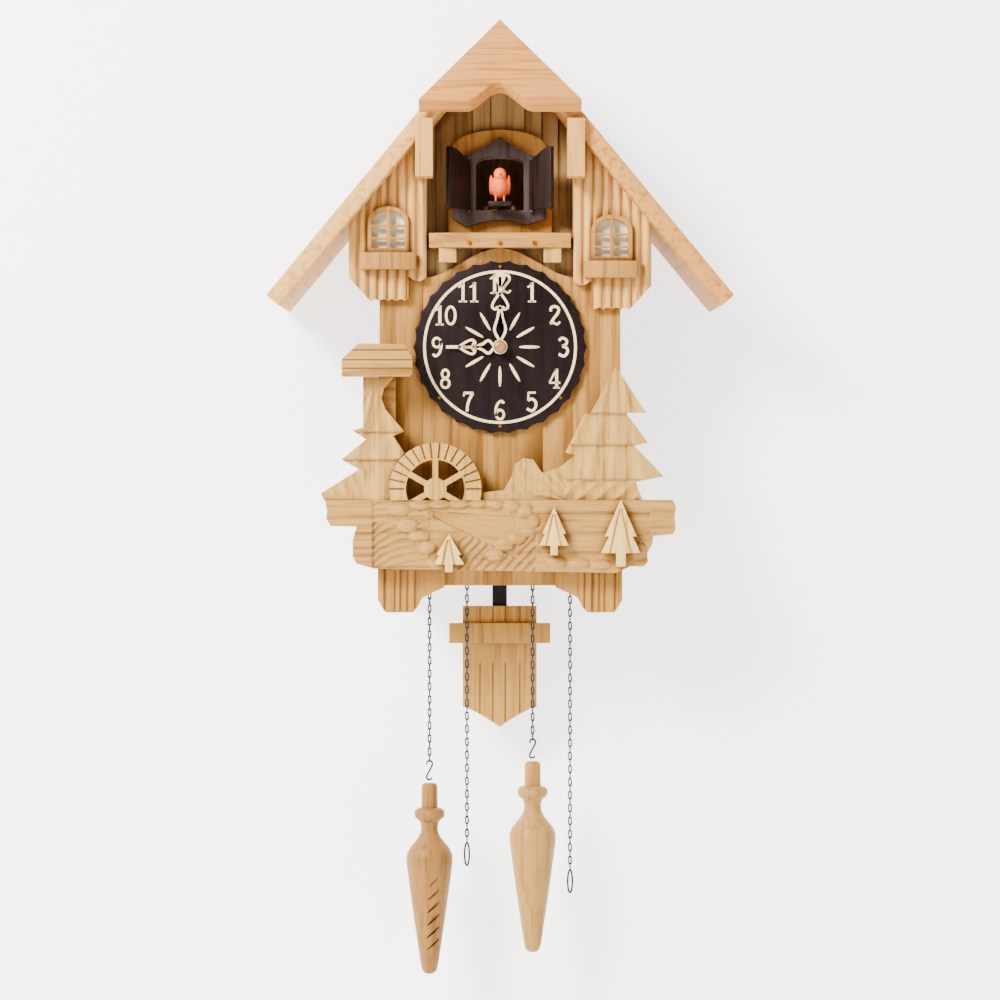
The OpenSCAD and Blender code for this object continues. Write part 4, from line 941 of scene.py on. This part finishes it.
# turned weights: stub, collar, neck, belly and tail
weights = {"y": -57, "slashes": 6, "slashTop": 70, "slashStep": 9.6,
    "profile": [(0, 0), (4.4, 0), (5.4, -1), (5.9, -3),
    (5.9, -10), (6.1, -17.8), (9.6, -18.9), (10.9, -20.4), (11.3, -22.9), (10.6, -25.2),
    (8.6, -26.8), (6.9, -28.6), (6.2, -32), (6.5, -36), (8.4, -40), (11.6, -44), (14.8, -48),
    (16.7, -52), (17.2, -55.6), (16.9, -60), (15.9, -68), (14.4, -79), (12.6, -92),
    (10.7, -105), (8.8, -118), (7.2, -129), (6.2, -135), (5.2, -138.2), (3.2, -140.2),
    (0, -140.8)]}


def weightPiece(node, x, top, paint, slashed):
    weight = turnedPiece(node + "_turned", weights["profile"], x, weights["y"], top, 56)
    if slashed:
        for index in range(weights["slashes"]):
            low = top - weights["slashTop"] - index * weights["slashStep"]
            side = 5.2 - index * 0.55
            clearSelection()
            bpy.ops.mesh.primitive_uv_sphere_add(segments=20, ring_count=12, radius=1,
                location=((x + side) * mm, (weights["y"] - 15.6 + index * 1.75) * mm, low * mm),
                rotation=(0, math.radians(-42), 0))
            slash = bpy.context.object
            slash.scale = (7.4 * mm, 2.0 * mm, 1.1 * mm)
            settle(slash)
            boolean(weight, slash, "DIFFERENCE")
    finishPiece(weight, node, paint, angle=50)


weightPiece("time_weight", 24.2, -430, finishes["turnedRight"], False)
weightPiece("strike_weight", -51.8, -446, finishes["turnedLeft"], True)
print("weights ready")


# a finish for every CAD node
nodeFinishes = {
    "caseWood": ["case_shell"], "coverWood": ["back_cover"], "steel": ["hanger_plate", "fly",
        "verge", "gong_hammer"],
    "brass": ["movement_plates", "movement_pillars", "centre_wheel", "hour_wheel",
        "minute_wheel", "third_wheel", "escape_wheel", "time_great_wheel",
        "strike_great_wheel", "strike_second_wheel", "time_chain_wheel", "strike_chain_wheel",
        "screws_and_nails"],
    "gongSteel": ["gong"], "pipeWood": ["pipe_boxes", "bird_rail", "bellows_left",
        "bellows_right"],
    "recess": ["upper_wall"], "face": ["face_board", "corner_planks", "door_backboard"],
    "roofLight": ["roof_left"], "roofWarm": ["roof_right"], "hip": ["hip_board"],
    "trim": ["brackets", "windows", "balcony_shelf", "spacer_blocks"],
    "dormer": ["dormer_left", "dormer_right"], "surround": ["door_surround"],
    "dial": ["dial_plate"], "ivory": ["dial_markings", "minute_hand", "hour_hand"],
    "carved": ["carved_base", "post_cap", "mill_wheel", "trees_right", "small_trees"],
    "carvedTree": ["tree_left"], "doorDark": ["door_left", "door_right", "bird_perch"],
    "orange": ["bird"], "rodBlack": ["pendulum_rod"], "bob": ["pendulum_bob"],
    "blackWire": ["time_chain", "time_pull_chain", "strike_chain", "strike_pull_chain"],
    "turnedRight": ["time_weight"], "turnedLeft": ["strike_weight"],
}
for finish, nodes in nodeFinishes.items():
    for node in nodes:
        obj = frame["nodes"][node]
        for place in range(max(1, len(obj.material_slots))):
            if not obj.material_slots:
                obj.data.materials.append(finishes[finish])
            obj.material_slots[place].material = finishes[finish]
print("CAD nodes finished")
